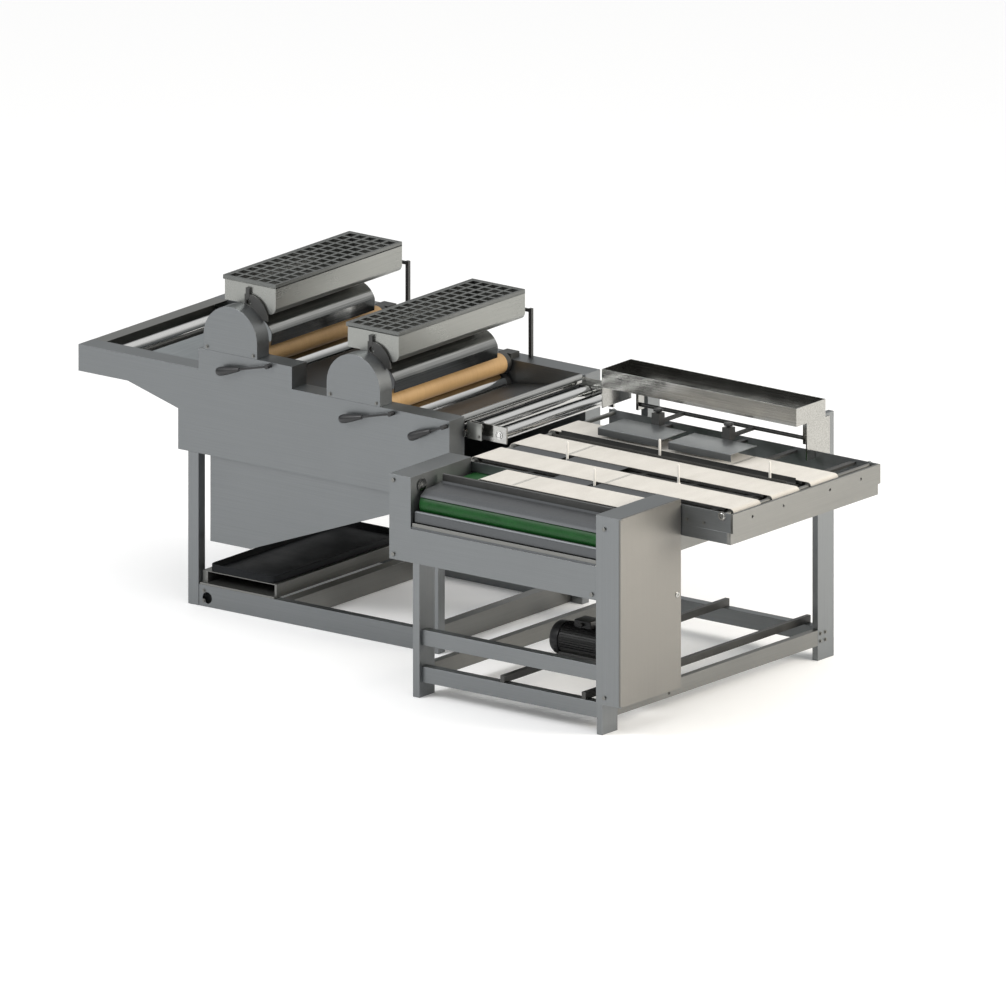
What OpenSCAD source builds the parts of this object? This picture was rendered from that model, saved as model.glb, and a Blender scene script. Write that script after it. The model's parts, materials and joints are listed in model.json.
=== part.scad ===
// Two-head dough sheeting line: a sheeting unit with two roller heads, followed by a strip-belt table.
// X runs downstream, Y runs across the machine towards the far side, Z is up, and the floor is Z = 0.

/* [Sheeting unit] */
// Width across the two side frames
unit_w = 940; // [900:1:980]
// Depth of one hollow side frame
side_t = 93; // [90:1:96]
// Length of the side frames from the infeed end to the discharge end
unit_l = 1780; // [1770:1:1790]
// Height of the infeed rim above the floor
infeed_z = 933; // [925:1:940]
// Sheet thickness of the frames and covers
skin = 3; // [2:0.5:3]

/* [Roller heads] */
// Distance between the two heads along the machine
head_step = 590; // [590:1:596]
// How much lower the second head stands
head_drop = 88; // [86:1:90]
// Radius of both sheeting rollers
roller_r = 40; // [38:0.5:40]
// Gap between the rollers at rest
nip_gap = 3; // [2:0.5:4]
// Highest lift of an upper roller
lift = 12; // [6:1:12]
// Width of a flour hopper along the machine
hopper_w = 244; // [240:1:248]

/* [Strip-belt table] */
// Distance of the table's near face in front of the sheeting unit
table_reach = 543; // [535:1:550]
// Height of the strip belts above the floor
belt_top = 848; // [846:1:850]
// Width of one strip belt
strip_w = 168; // [160:1:170]
// Number of strip belts
strips = 4; // [4:1:4]
// Length of the trough behind the belts
trough_l = 934; // [930:1:936]

/* [Hidden] */

round_fn = 64;
fit = 0.05;
slack = 0.5;

// Sheeting unit, along X from the near infeed leg
x_in = -526;
x_out = x_in + unit_l;
head_top = infeed_z + 82;
step_x = [50, 498];
panel_z = 600;
neck_x = -48;
y_in = side_t;
y_far = unit_w - side_t;
lane = [106, 834];

// Table
x_end = 2740;
y_near = -table_reach;
y_table_far = 904;
table_x = [1383, 2493];
plate_y = [-160, 752];
strip_pitch = 241;
strip_y0 = -353;
strip_r = 18;
strip_t = 2;
strip_z = belt_top - strip_r;

// Centre of the whole machine's footprint, which becomes the origin
bolt_h = 6;
centre = [(x_in + x_end) / 2, (y_near - bolt_h + unit_w) / 2, 0];

// A box from its two corners
module slab(x, y, z) {
    translate([x[0], y[0], z[0]]) cube([x[1] - x[0], y[1] - y[0], z[1] - z[0]]);
}

// A round bar across the machine
module bar_y(x, z, r, y) {
    translate([x, y[0], z]) rotate([-90, 0, 0]) cylinder(r = r, h = y[1] - y[0], $fn = round_fn);
}

// A round bar along the machine
module bar_x(y, z, r, x) {
    translate([x[0], y, z]) rotate([0, 90, 0]) cylinder(r = r, h = x[1] - x[0], $fn = round_fn);
}

// A side-view outline, drawn in X and Z, carried across the machine
module across(y) {
    translate([0, y[1], 0]) rotate([90, 0, 0]) linear_extrude(height = y[1] - y[0]) children();
}

// An end-view outline, drawn in Y and Z, carried along the machine
module along(x) {
    translate([x[0], 0, 0]) rotate([90, 0, 90]) linear_extrude(height = x[1] - x[0]) children();
}

// The unit normal of the edge from a to b, pointing into a counter-clockwise outline
function inward(a, b) = let (d = b - a) [-d[1], d[0]] / norm(d);

// Where the two edges that meet at p cross once both have moved in by t
function inner_corner(a, p, b, t) =
    let (m = inward(a, p), n = inward(p, b), q = 1 + m * n) p + t * (m + n) / q;

// A counter-clockwise outline moved in by t all round
function inset(pts, t) = [for (i = [0 : len(pts) - 1])
    inner_corner(pts[(i + len(pts) - 1) % len(pts)], pts[i], pts[(i + 1) % len(pts)], t)];

// A closed belt of thickness t round two pulleys of radius r, drawn in the plane of its run
module belt_loop(a, b, r, t) {
    difference() {
        union() {
            translate(a) circle(r = r + t, $fn = round_fn);
            translate(b) circle(r = r + t, $fn = round_fn);
            translate([a[0], a[1] - r - t]) square([b[0] - a[0], 2 * (r + t)]);
        }
        translate(a) circle(r = r, $fn = round_fn);
        translate(b) circle(r = r, $fn = round_fn);
        translate([a[0], a[1] - r]) square([b[0] - a[0], 2 * r]);
    }
}

// A spur gear outline with straight-flanked teeth
module gear(teeth, pitch_r, turn) {
    outer = pitch_r * 1.07;
    root = pitch_r * 0.915;
    half = 360 / teeth / 4;
    polygon([for (i = [0 : teeth - 1], k = [0 : 3])
        let (a = turn + 360 * i / teeth + [-1.25, -0.5, 0.5, 1.25][k] * half)
        (k == 0 || k == 3 ? root : outer) * [cos(a), sin(a)]]);
}

/* Sheeting unit: frame ------------------------------------------------------------------- */

// Outline of a side frame, counter-clockwise from the neck's foot
panel_outline = [[neck_x, panel_z], [x_out, panel_z], [x_out, infeed_z - 6],
    [step_x[1], infeed_z - 6], [step_x[1], head_top], [step_x[0], head_top],
    [step_x[0], infeed_z], [x_in, infeed_z], [x_in, infeed_z - 105], [-290, infeed_z - 105],
    [neck_x, 760]];

// Heads: x of the roller axes and heights of the pair in head 1
head_x = 275;
upper_z = 1001;
lower_z = upper_z - 2 * roller_r - nip_gap;
function head_at(i) = [i * head_step, 0, -i * head_drop];
function axis_x(i) = head_x + i * head_step;
function drop(i) = i * head_drop;

journal_r = 15;
block_w = 30;
block_z = [968, 1036];
idler = [-400, infeed_z - 34, 26];
infeed_tail = [-246, 886, 38];
infeed_drive = [36, 886, 38];
transfer_a = [1300, 880, 22];
transfer_b = [1390, 866, 22];

// Everything cut out of a side frame whose inner face is at y = inner and whose body lies towards dir
module frame_cuts(inner, dir) {
    reach = [min(inner, inner + dir * 60), max(inner, inner + dir * 60)];
    wide = [reach[0] - 1, reach[1] + 1];
    for (r = [idler, infeed_tail, infeed_drive])
        bar_y(r[0], r[1], 10 + fit, wide);
    for (i = [0, 1]) {
        bar_y(axis_x(i), lower_z - drop(i), journal_r + fit, wide);
        slab([axis_x(i) - block_w - slack, axis_x(i) + block_w + slack], wide,
            [block_z[0] - slack - drop(i), head_top + 60]);
    }
}

module side_frame(y, inner, dir) {
    difference() {
        across(y) polygon(panel_outline);
        across([y[0] + skin, y[1] - skin]) polygon(inset(panel_outline, skin));
        frame_cuts(inner, dir);
    }
}

module near_side_panel() {
    color("slategray") difference() {
        side_frame([0, side_t], side_t, -1);
        for (i = [0, 1])
            slab([axis_x(i) - 52, axis_x(i) + 52], [skin + 1, side_t - 50],
                [lower_z + 60 - drop(i), head_top + 60]);
    }
}

module far_side_panel() {
    color("slategray") side_frame([y_far, unit_w], y_far, 1);
}

module infeed_end_panel() {
    color("darkgray") {
        slab([x_in, x_in + 62], [side_t, y_far], [infeed_z - skin, infeed_z]);
        slab([x_in, x_in + skin], [side_t, y_far], [infeed_z - 105, infeed_z - skin]);
        slab([x_in + skin, -290], [side_t, y_far], [infeed_z - 105, infeed_z - 105 + skin]);
    }
}

belly = [[91, 256], [283, 256], [960, 508], [1145, 577], [1145, panel_z], [91, panel_z]];

module belly_cover() {
    color("gray") difference() {
        across([20, unit_w - 20]) polygon(belly);
        across([20 + skin, unit_w - 20 - skin]) polygon(inset(belly, skin));
        slab([91 + skin, 1145 - skin], [20 + skin, unit_w - 20 - skin], [590, panel_z + 1]);
    }
}

leg_x = [[0, 50], [1150, 1200]];
leg_y = [[0, 42], [unit_w - 42, unit_w]];

module main_legs() {
    color("slategray") for (x = leg_x, y = leg_y)
        difference() {
            slab(x, y, [0, panel_z]);
            slab([x[0] + skin, x[1] - skin], [y[0] + skin, y[1] - skin], [-1, panel_z + 1]);
        }
}

rail_top = 84;

module base_rails() {
    color("slategray") for (y = leg_y)
        difference() {
            slab([50, 1150], [y[0] + 2, y[1] - 2], [0, rail_top]);
            slab([49, 1151], [y[0] + 5, y[1] - 5], [skin, rail_top - skin]);
            bar_y(90, 35, 22, [y[0] - 1, y[0] + 6]);
        }
}

tray_x = [84, 395];
tray_y = [20, 850];
tray_z = [137, 165];

module cross_rails() {
    color("silver") {
        for (x = [[425, 475], [1100, 1146]])
            slab(x, [40, unit_w - 40], [skin, rail_top]);
        slab([54, 410], [leg_y[0][0] + 2, leg_y[1][1] - 2], [rail_top, rail_top + 8]);
        for (x = [[54, 80], [399, 410]])
            slab(x, [20, unit_w - 20], [rail_top + 8, tray_z[0] - 4]);
        slab([54, 410], [20, unit_w - 20], [tray_z[0] - 4, tray_z[0] - 0.4]);
    }
}

module crumb_tray() {
    color("black") difference() {
        slab(tray_x, tray_y, tray_z);
        slab([tray_x[0] + 3, tray_x[1] - 3], [tray_y[0] + 3, tray_y[1] - 3],
            [tray_z[0] + 3, tray_z[1] + 1]);
    }
}

/* Sheeting unit: infeed and discharge ---------------------------------------------------- */

module infeed_idler() {
    color("gainsboro") {
        bar_y(idler[0], idler[1], idler[2], [110, unit_w - 110]);
        bar_y(idler[0], idler[1], 10, [side_t - 20, y_far + 20]);
    }
}

module infeed_belt() {
    color("dimgray") across(lane)
        belt_loop([infeed_tail[0], infeed_tail[1]], [infeed_drive[0], infeed_drive[1]],
            infeed_tail[2] + 0.3, 3);
}

module belt_roller(r) {
    color("silver") {
        bar_y(r[0], r[1], r[2], [lane[0] + 3, lane[1] - 3]);
        bar_y(r[0], r[1], 10, [side_t - 20, y_far + 20]);
    }
}

module infeed_tail_roller() { belt_roller(infeed_tail); }

module infeed_drive_roller() { belt_roller(infeed_drive); }

// Two sloping decks: one carries the sheet from head 1 to head 2, one from head 2 to the cross bar
module discharge_decks() {
    color("dimgray") {
        across(lane) polygon([[90, 915], [215, 928], [215, 934], [90, 921]]);
        across(lane) polygon([[330, 921], [790, 846], [790, 852], [330, 927]]);
        across(lane) polygon([[925, 836], [1215, 872], [1215, 878], [925, 842]]);
        for (x = [120, 480, 1080])
            slab([x, x + 30], [side_t, y_far], [780, 800]);
    }
}

module transfer_frame() {
    color("lightgray") {
        bar_y(1232, 906, 20, [side_t, y_far]);
        for (y = [[side_t + 40, side_t + 48], [y_far - 48, y_far - 40]])
            difference() {
                slab([1257, 1425], y, [836, 900]);
                bar_y(transfer_a[0], transfer_a[1], 8 + fit, [y[0] - 1, y[1] + 1]);
                bar_y(transfer_b[0], transfer_b[1], 8 + fit, [y[0] - 1, y[1] + 1]);
            }
        slab([x_out, 1262], [side_t - 10, y_far + 10], [848, 872]);
    }
}

module transfer_roller(r) {
    color("gainsboro") {
        bar_y(r[0], r[1], r[2], [side_t + 52, y_far - 52]);
        bar_y(r[0], r[1], 8, [side_t + 36, y_far - 36]);
    }
}

module transfer_roller_1() { transfer_roller(transfer_a); }

module transfer_roller_2() { transfer_roller(transfer_b); }

/* Roller heads --------------------------------------------------------------------------- */

cover_x = [74, 331];
cover_depth = 75;
cover_r = (cover_x[1] - cover_x[0]) / 2;
cover_c = [(cover_x[0] + cover_x[1]) / 2, 1072];
hopper_x = [118, 118 + hopper_w];
hopper_y = [76, 863];
hopper_top = 1285;
hopper_low = 1177;
hopper_skin = 2.5;
duster = [240, 1212, 26];
guard_c = [238, 1062];
guard_r = 90;
teeth = 20;
mesh_r = roller_r + nip_gap / 2;

module tombstone(t) {
    intersection() {
        translate(cover_c) circle(r = cover_r - t, $fn = round_fn);
        translate([cover_x[0], cover_c[1]]) square([2 * cover_r, cover_r]);
    }
    translate([cover_x[0] + t, head_top]) square([2 * (cover_r - t), cover_c[1] - head_top + 0.01]);
}

module gear_covers() {
    color("slategray") for (i = [0, 1]) translate(head_at(i)) difference() {
        across([0, cover_depth]) tombstone(0);
        across([skin, cover_depth - skin]) tombstone(skin);
        slab([cover_x[0] + skin, cover_x[1] - skin], [skin, cover_depth - skin], [head_top - 2, head_top + 9]);
        slab([head_x - block_w - slack, head_x + block_w + slack],
            [cover_depth - skin - 1, cover_depth + 1], [head_top - 1, block_z[1] + lift + 8]);
    }
}

module hopper_outline(t) {
    round_r = 30;
    difference() {
        union() {
            translate([hopper_x[0] + t, hopper_low + 25 + t])
                square([hopper_w - 2 * t, hopper_top - hopper_low - 25 - t]);
            translate([hopper_x[0] + 60, hopper_low + t]) square([hopper_w - 60 - round_r, 40]);
            translate([hopper_x[1] - round_r, hopper_low + round_r]) circle(r = round_r - t, $fn = round_fn);
            translate([hopper_x[1] - round_r - 5, hopper_low + round_r]) square([round_r + 5 - t, 20]);
        }
        translate([hopper_x[0] - 1, hopper_low - 1]) polygon([[0, 0], [62, 0], [0, 25]]);
    }
}

// The lids turn on pins in two knuckles each, behind the hoppers' back edges
lid_z = [hopper_top + 0.4, hopper_top + 12.4];
lid_axis = [hopper_x[0] - 5, hopper_top + 0.2];
knuckle_r = 4;
pin_r = 2;
knuckles = [[200, 260], [680, 740]];
leaf_l = 40;

module hopper_knuckles() {
    for (y = knuckles) difference() {
        union() {
            bar_y(lid_axis[0], lid_axis[1], knuckle_r, y);
            slab([lid_axis[0], hopper_x[0] + 1], y, [lid_axis[1] - 3.5, lid_axis[1] - 0.7]);
        }
        bar_y(lid_axis[0], lid_axis[1], pin_r + fit, [y[0] - 1, y[1] + 1]);
    }
}

module lid_knuckles() {
    for (y = knuckles) {
        bar_y(lid_axis[0], lid_axis[1], pin_r, [y[0] - leaf_l / 2, y[1] + leaf_l / 2]);
        for (leaf = [[y[0] - leaf_l, y[0] - 0.5], [y[1] + 0.5, y[1] + leaf_l]]) {
            bar_y(lid_axis[0], lid_axis[1], knuckle_r, leaf);
            slab([lid_axis[0], hopper_x[0] + 1], leaf, [lid_z[0] + 0.6, lid_z[0] + 3]);
        }
    }
}

module hoppers() {
    color("silver") for (i = [0, 1]) translate(head_at(i)) hopper_knuckles();
    color("silver") for (i = [0, 1]) translate(head_at(i)) difference() {
        across(hopper_y) hopper_outline(0);
        across([hopper_y[0] + hopper_skin, hopper_y[1] - hopper_skin]) hopper_outline(hopper_skin);
        slab([hopper_x[0] + hopper_skin, hopper_x[1] - hopper_skin],
            [hopper_y[0] + hopper_skin, hopper_y[1] - hopper_skin], [hopper_top - 30, hopper_top + 5]);
        slab([duster[0] - 12, duster[0] + 12], [140, 800], [hopper_low - 5, hopper_low + 20]);
        bar_y(duster[0], duster[1], 6 + fit, [hopper_y[0] - 1, hopper_y[1] + 1]);
    }
}

module grille_lid(i) {
    pitch = 38;
    hole = 25;
    color("dimgray") translate(head_at(i)) lid_knuckles();
    color("dimgray") translate(head_at(i)) difference() {
        slab([hopper_x[0], hopper_x[1]], hopper_y, lid_z);
        for (c = [0 : 5], r = [0 : 19])
            translate([hopper_x[0] + 14 + c * pitch, hopper_y[0] + 20 + r * pitch, lid_z[0] - 1])
                cube([hole, hole, 14]);
    }
}

module grille_lid_1() { grille_lid(0); }

module grille_lid_2() { grille_lid(1); }

module duster_roller(i) {
    color("dimgray") translate(head_at(i)) {
        bar_y(duster[0], duster[1], duster[2], [hopper_y[0] + 8, hopper_y[1] - 8]);
        bar_y(duster[0], duster[1], 6, [hopper_y[0] - 2, hopper_y[1] + 2]);
    }
}

module duster_roller_1() { duster_roller(0); }

module duster_roller_2() { duster_roller(1); }

// Near side: a quadrant plate on the gear cover. Far side: a post with an arm to the hopper's end.
module hanger_brackets() {
    color("dimgray") for (i = [0, 1]) translate(head_at(i)) {
        intersection() {
            across([66, 73]) difference() {
                translate([238, 1152]) circle(r = 92, $fn = round_fn);
                translate([duster[0], duster[1]]) circle(r = 12, $fn = round_fn);
                translate(cover_c) circle(r = cover_r + 0.3, $fn = round_fn);
            }
            slab([220, 340], [60, 80], [1150, 1260]);
        }
        slab([226, 244], [65, hopper_y[0]], [1232, 1268]);
        slab([340, 354], [912, 926], [head_top, 1207]);
        slab([250, 347], [914, 924], [1192, 1204]);
        slab([248, 262], [hopper_y[1], 928], [1189, 1232]);
    }
}

module scrapers() {
    color("silver") for (i = [0, 1]) translate(head_at(i)) {
        across([120, 830]) polygon([[head_x - 64, lower_z - 38], [head_x - 41, lower_z - 3],
            [head_x - 43, lower_z - 1], [head_x - 67, lower_z - 36]]);
        slab([head_x - 84, head_x - 60], [side_t, y_far], [lower_z - 56, lower_z - 36]);
    }
}

// The pair of blocks that carries an upper roller and slides up in the side frames
module bearing_carriage(i) {
    color("black") translate(head_at(i)) for (y = [[side_t - 44, side_t - 1], [y_far + 1, y_far + 56]])
        difference() {
            slab([head_x - block_w, head_x + block_w], y, block_z);
            bar_y(head_x, upper_z, journal_r + fit, [y[0] - 1, y[1] + 1]);
        }
}

module bearing_carriage_1() { bearing_carriage(0); }

module bearing_carriage_2() { bearing_carriage(1); }

module sheeting_roller(i, z, sleeve, turn) {
    color(sleeve) translate(head_at(i)) {
        bar_y(head_x, z, roller_r, [side_t + 6, y_far - 6]);
        bar_y(head_x, z, journal_r, [skin + 6, y_far + 54]);
        translate([head_x, 34, z]) rotate([90, 0, 0])
            linear_extrude(height = 24) gear(teeth, mesh_r, turn);
    }
}

module upper_roller_1() { sheeting_roller(0, upper_z, "burlywood", 0); }

module upper_roller_2() { sheeting_roller(1, upper_z, "burlywood", 0); }

module lower_roller_1() { sheeting_roller(0, lower_z, "gainsboro", 9); }

module lower_roller_2() { sheeting_roller(1, lower_z, "gainsboro", 9); }

// A curved sheet that rolls back round its own centre
module roller_guard(i) {
    sheet = 2;
    foot = [318, 1046];
    color("gainsboro") translate(head_at(i)) across([104, 745]) union() {
        intersection() {
            translate(guard_c) difference() {
                circle(r = guard_r, $fn = 96);
                circle(r = guard_r - sheet, $fn = 96);
            }
            translate(guard_c) polygon([[0, 0], [130, 47.3], [130, 130], [-47, 130]]);
        }
        translate(guard_c) polygon([[82.6, 30], [80, -16], [82, -16], [84.8, 30]]);
    }
}

module roller_guard_1() { roller_guard(0); }

module roller_guard_2() { roller_guard(1); }

// Levers: each has its pivot on the near side frame, and lies on the frame's near face
lever_y = -22;
pivots = [[395, 1003], [395 + head_step, 1003 - head_drop], [x_out - 16, 905]];
grip_angle = [194, 194, 202];
rod_l = [135, 135, 62];
grip_l = 112;

module lever(i) {
    color("silver") translate([pivots[i][0], 0, pivots[i][1]]) {
        rotate([90, 0, 0]) cylinder(r = 9, h = 28, $fn = round_fn);
        translate([0, lever_y, 0]) rotate([0, -grip_angle[i], 0]) rotate([0, 90, 0])
            cylinder(r = 4, h = rod_l[i] + 30, $fn = 32);
    }
}

module gap_lever_1() { lever(0); }

module gap_lever_2() { lever(1); }

module deck_lever() { lever(2); }

module lever_grip(i) {
    color("black") translate([pivots[i][0], lever_y, pivots[i][1]]) rotate([0, -grip_angle[i], 0])
        rotate([0, 90, 0]) difference() {
            union() {
                translate([0, 0, rod_l[i]]) cylinder(r1 = 8, r2 = 16, h = grip_l - 16, $fn = round_fn);
                translate([0, 0, rod_l[i] + grip_l - 16]) sphere(r = 16, $fn = round_fn);
            }
            translate([0, 0, rod_l[i] - 1]) cylinder(r = 4 + fit, h = 31, $fn = 32);
        }
}

module lever_grip_1() { lever_grip(0); }

module lever_grip_2() { lever_grip(1); }

module lever_grip_3() { lever_grip(2); }

/* Strip-belt table: frame ---------------------------------------------------------------- */

post_x = [table_x[0], table_x[0] + 103];
cabinet_x = [2375, table_x[1]];
front_z = [528, 661, 863];
post_depth = y_near + 376;

// Front panel with its U-shaped mouth, and the left post's box behind it
module table_front_panel() {
    color("slategray") {
        difference() {
            slab([post_x[0], cabinet_x[0]], [y_near, y_near + skin], [front_z[0], front_z[2]]);
            slab([post_x[1], cabinet_x[0] + 1], [y_near - 1, y_near + skin + 1],
                [front_z[1], front_z[2] + 1]);
        }
        slab(post_x, [y_near + skin, post_depth], [front_z[2] - skin, front_z[2]]);
        slab([post_x[0], post_x[0] + skin], [y_near + skin, post_depth], [front_z[0], front_z[2] - skin]);
        difference() {
            slab([post_x[1] - 12, post_x[1]], [y_near + skin, post_depth], [front_z[0], front_z[2] - skin]);
            bar_x(green_front[0], green_front[1], 12 + fit, [post_x[1] - 13, post_x[1] + 1]);
        }
    }
}

cabinet_z = [122, 866];
cabinet_y = [y_near, y_near + 377];
green_front = [-455, 748, 52];
green_rear = [560, 748, 52];
green_x = [1502, 2362];

// The door turns on two short pins in ears at the cabinet's top and bottom
door_x = [cabinet_x[1] - 7, cabinet_x[1]];
door_pin = [cabinet_x[1] - 3.5, cabinet_y[0] + 3.5];
ear_z = [[cabinet_z[0], cabinet_z[0] + 4], [cabinet_z[1] - 4, cabinet_z[1]]];

module drive_cabinet() {
    color("slategray") for (z = ear_z) difference() {
        slab([cabinet_x[1] - 9, cabinet_x[1] - 0.2], [cabinet_y[0], cabinet_y[0] + 7], z);
        translate([door_pin[0], door_pin[1], z[0] - 1]) cylinder(r = pin_r + fit, h = 6, $fn = 32);
    }
    color("slategray") difference() {
        slab([cabinet_x[0], cabinet_x[1] - 8], cabinet_y, cabinet_z);
        slab([cabinet_x[0] + skin, cabinet_x[1] - 7], [cabinet_y[0] + skin, cabinet_y[1] - skin],
            [cabinet_z[0] + skin, cabinet_z[1] - skin]);
        bar_x(green_front[0], green_front[1], 12 + fit, [cabinet_x[0] - 1, cabinet_x[0] + skin + 1]);
    }
}

module cabinet_door() {
    color("tan") {
        difference() {
            slab(door_x, [cabinet_y[0] + 1, cabinet_y[1] - 1], [cabinet_z[0] + 1, cabinet_z[1] - 1]);
            for (z = ear_z)
                slab([door_x[0] - 1, door_x[1] + 1], [cabinet_y[0], cabinet_y[0] + 9.5], [z[0] - 0.5, z[1] + 0.5]);
        }
        for (z = [cabinet_z[0] + 0.5, cabinet_z[1] - 5.5])
            translate([door_pin[0], door_pin[1], z]) cylinder(r = pin_r, h = 5, $fn = 32);
    }
}

table_leg_y = [[y_near + skin + 1, y_near + 100], [804, y_table_far]];
left_x = [1493, 1525];
right_x = [2375, 2402];
low_z = [59, 121];
mid_z = [205, 266];
upper_z_left = [560, 620];
upper_z_right = [622, 722];
rail_z = [722, 768];
near_rail_y = [y_near + 20, y_near + 60];
far_rail_y = [840, 880];

module table_legs() {
    color("slategray") {
        slab(left_x, table_leg_y[0], [0, 659]);
        slab(right_x, table_leg_y[0], [0, cabinet_z[0]]);
        slab(left_x, table_leg_y[1], [0, rail_z[1]]);
        slab(right_x, table_leg_y[1], [0, trough_z[0]]);
        slab([1554, 1586], [table_leg_y[1][0], far_rail_y[1]], [upper_z_left[1], trough_z[0]]);
    }
}

// Rails along the machine
module table_rails() {
    color("slategray") {
        slab([left_x[1], right_x[0]], near_rail_y, low_z);
        slab([left_x[1], cabinet_x[0]], near_rail_y, mid_z);
        slab([left_x[1], right_x[0]], far_rail_y, low_z);
        slab([left_x[1], right_x[0]], far_rail_y, upper_z_left);
        slab([right_x[0], x_end - 30], [plate_y[0] - 3, plate_y[0]], rail_z);
        slab([left_x[1], x_end - 30], [plate_y[1], plate_y[1] + 3], rail_z);
    }
}

// Rails across the machine
module table_cross_rails() {
    color("slategray") {
        slab(left_x, [table_leg_y[0][1], table_leg_y[1][0]], low_z);
        slab(left_x, [table_leg_y[0][1], table_leg_y[1][0]], upper_z_left);
        slab(right_x, [table_leg_y[0][1], table_leg_y[1][0]], low_z);
        slab(right_x, [cabinet_y[1], table_leg_y[1][0]], upper_z_right);
    }
}

motor_c = [-210, 243, 60];

module drive_motor() {
    color("black") {
        bar_x(motor_c[0], motor_c[1], motor_c[2], [1960, 2200]);
        bar_x(motor_c[0], motor_c[1], 30, [2200, 2290]);
        slab([1980, 2180], [motor_c[0] - 55, motor_c[0] + 55], [160, 200]);
        slab([1900, 2310], [motor_c[0] - 70, motor_c[0] + 70], [150, 160]);
        for (x = [1900, 2290])
            slab([x, x + 20], [near_rail_y[0], far_rail_y[1]], [low_z[1], 150]);
    }
}

plate_z = [768, 844];
nose_x = 2687;
drive_x = 1462;

// The near plate is shallow where the cross belt passes under it
module table_side_plates() {
    color("silver") for (i = [0, 1]) difference() {
        slab([1440, x_end - 12], [plate_y[i] - 3 + 3 * i, plate_y[i] + 3 * i], plate_z);
        if (i == 0)
            slab([1439, right_x[0]], [plate_y[0] - 4, plate_y[0] + 1], [plate_z[0] - 1, 806]);
        for (x = [drive_x, nose_x])
            bar_y(x, strip_z, 9 + fit, [plate_y[i] - 4, plate_y[i] + 4]);
    }
}

// Holes in the end plate, as two pairs about its middle
end_holes = [290, 676];
end_hole_z = plate_z[1] - 33;
plate_mid = (plate_y[0] + plate_y[1]) / 2;

module end_plate() {
    color("silver") {
        difference() {
            slab([x_end - 12, x_end], [plate_y[0] - 3, plate_y[1] + 3], plate_z);
            for (span = end_holes, s = [-1, 1])
                bar_x(plate_mid + s * span / 2, end_hole_z, 6, [x_end - 13, x_end + 1]);
        }
        slab([x_end - 30, x_end - 12], [plate_y[0] - 3, plate_y[1] + 3], [722, plate_z[0]]);
    }
}

/* Strip-belt table: belts ---------------------------------------------------------------- */

short_end = 2350;
function strip_y(n) = [strip_y0 + n * strip_pitch, strip_y0 + n * strip_pitch + strip_w];
function strip_from(n) = n == 0 ? 1676 : drive_x;
function strip_to(n) = n == 0 ? short_end : nose_x;

module strip_belts() {
    color("linen") for (n = [0 : strips - 1])
        across(strip_y(n))
            belt_loop([strip_from(n), strip_z], [strip_to(n), strip_z], strip_r - strip_t, strip_t);
}

// Flat beds under the belts' top runs. The short belt turns on two fixed nose bars.
module belt_beds() {
    bed_z = [strip_z + 4, strip_z + strip_r - strip_t - 0.3];
    bar_z = [strip_z - 6, strip_z + 4];
    color("dimgray") {
        for (n = [0 : strips - 1])
            slab([strip_from(n) + 30, strip_to(n) - 30], [strip_y(n)[0] + 3, strip_y(n)[1] - 3], bed_z);
        for (x = [1720, 2080, 2320]) {
            slab([x, x + 24], [strip_y0 - 4, plate_y[0] - 3], bar_z);
            slab([x, x + 24], [plate_y[0], plate_y[1]], bar_z);
        }
        slab([2600, 2624], [plate_y[0], plate_y[1]], bar_z);
        for (y = [[plate_y[0], strip_y(1)[0] - 4], [strip_y(1)[1] + 4, strip_y(2)[0] - 4],
            [strip_y(2)[1] + 4, strip_y(3)[0] - 4]])
            slab([1490, 2650], y, [bar_z[0] + 2, bar_z[1] - 2]);
        for (x = [strip_from(0), short_end])
            bar_y(x, strip_z, strip_r - strip_t - 0.3, [strip_y0 + 3, strip_y0 + strip_w - 3]);
        for (x = [[strip_from(0), strip_from(0) + 31], [short_end - 31, short_end]])
            slab(x, [strip_y0 + 3, strip_y0 + strip_w - 3], [strip_z - 5, strip_z + 5]);
        slab([1640, 2370], [strip_y0 - 8, strip_y0 - 4], [strip_z - 12, strip_z + 12]);
    }
}

module pulley_shaft(x, n0) {
    color("gray") {
        bar_y(x, strip_z, 9, [plate_y[0] - 6, plate_y[1] + 6]);
        for (n = [n0 : strips - 1])
            bar_y(x, strip_z, strip_r - strip_t - 0.3, [strip_y(n)[0] + 3, strip_y(n)[1] - 3]);
    }
}

module belt_drive_shaft() { pulley_shaft(drive_x, 1); }

module nose_shaft() { pulley_shaft(nose_x, 1); }

module green_belt() {
    color("darkgreen") along(green_x)
        belt_loop([green_front[0], green_front[1]], [green_rear[0], green_rear[1]], green_front[2] + 0.3, 3);
}

module green_roller(r, x) {
    color("silver") {
        bar_x(r[0], r[1], r[2], [green_x[0] + 3, green_x[1] - 3]);
        bar_x(r[0], r[1], 12, x);
    }
}

module green_front_roller() { green_roller(green_front, [post_x[1] - 14, cabinet_x[0] + 20]); }

module green_rear_roller() { green_roller(green_rear, [green_x[0] - 10, green_x[1] + 10]); }

// Tray under the cross belt, and the hangers that hold the belt's rear roller
module catch_tray() {
    color("silver") {
        slab([1490, 2372], [y_near + 8, 300], [664, 668]);
        slab([1490, 2372], [y_near + 4, y_near + 8], [664, 684]);
        for (x = [[1488, 1493], [2370, 2375]])
            difference() {
                slab(x, [520, 600], [600, 790]);
                bar_x(green_rear[0], green_rear[1], 12 + fit, [x[0] - 1, x[1] + 1]);
            }
    }
}

/* Strip-belt table: trough and guides ---------------------------------------------------- */

trough_x = [1498, 1498 + trough_l];
trough_y = [631, 813];
trough_z = [965, 1037];
guide_axis = [730, 894];

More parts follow.
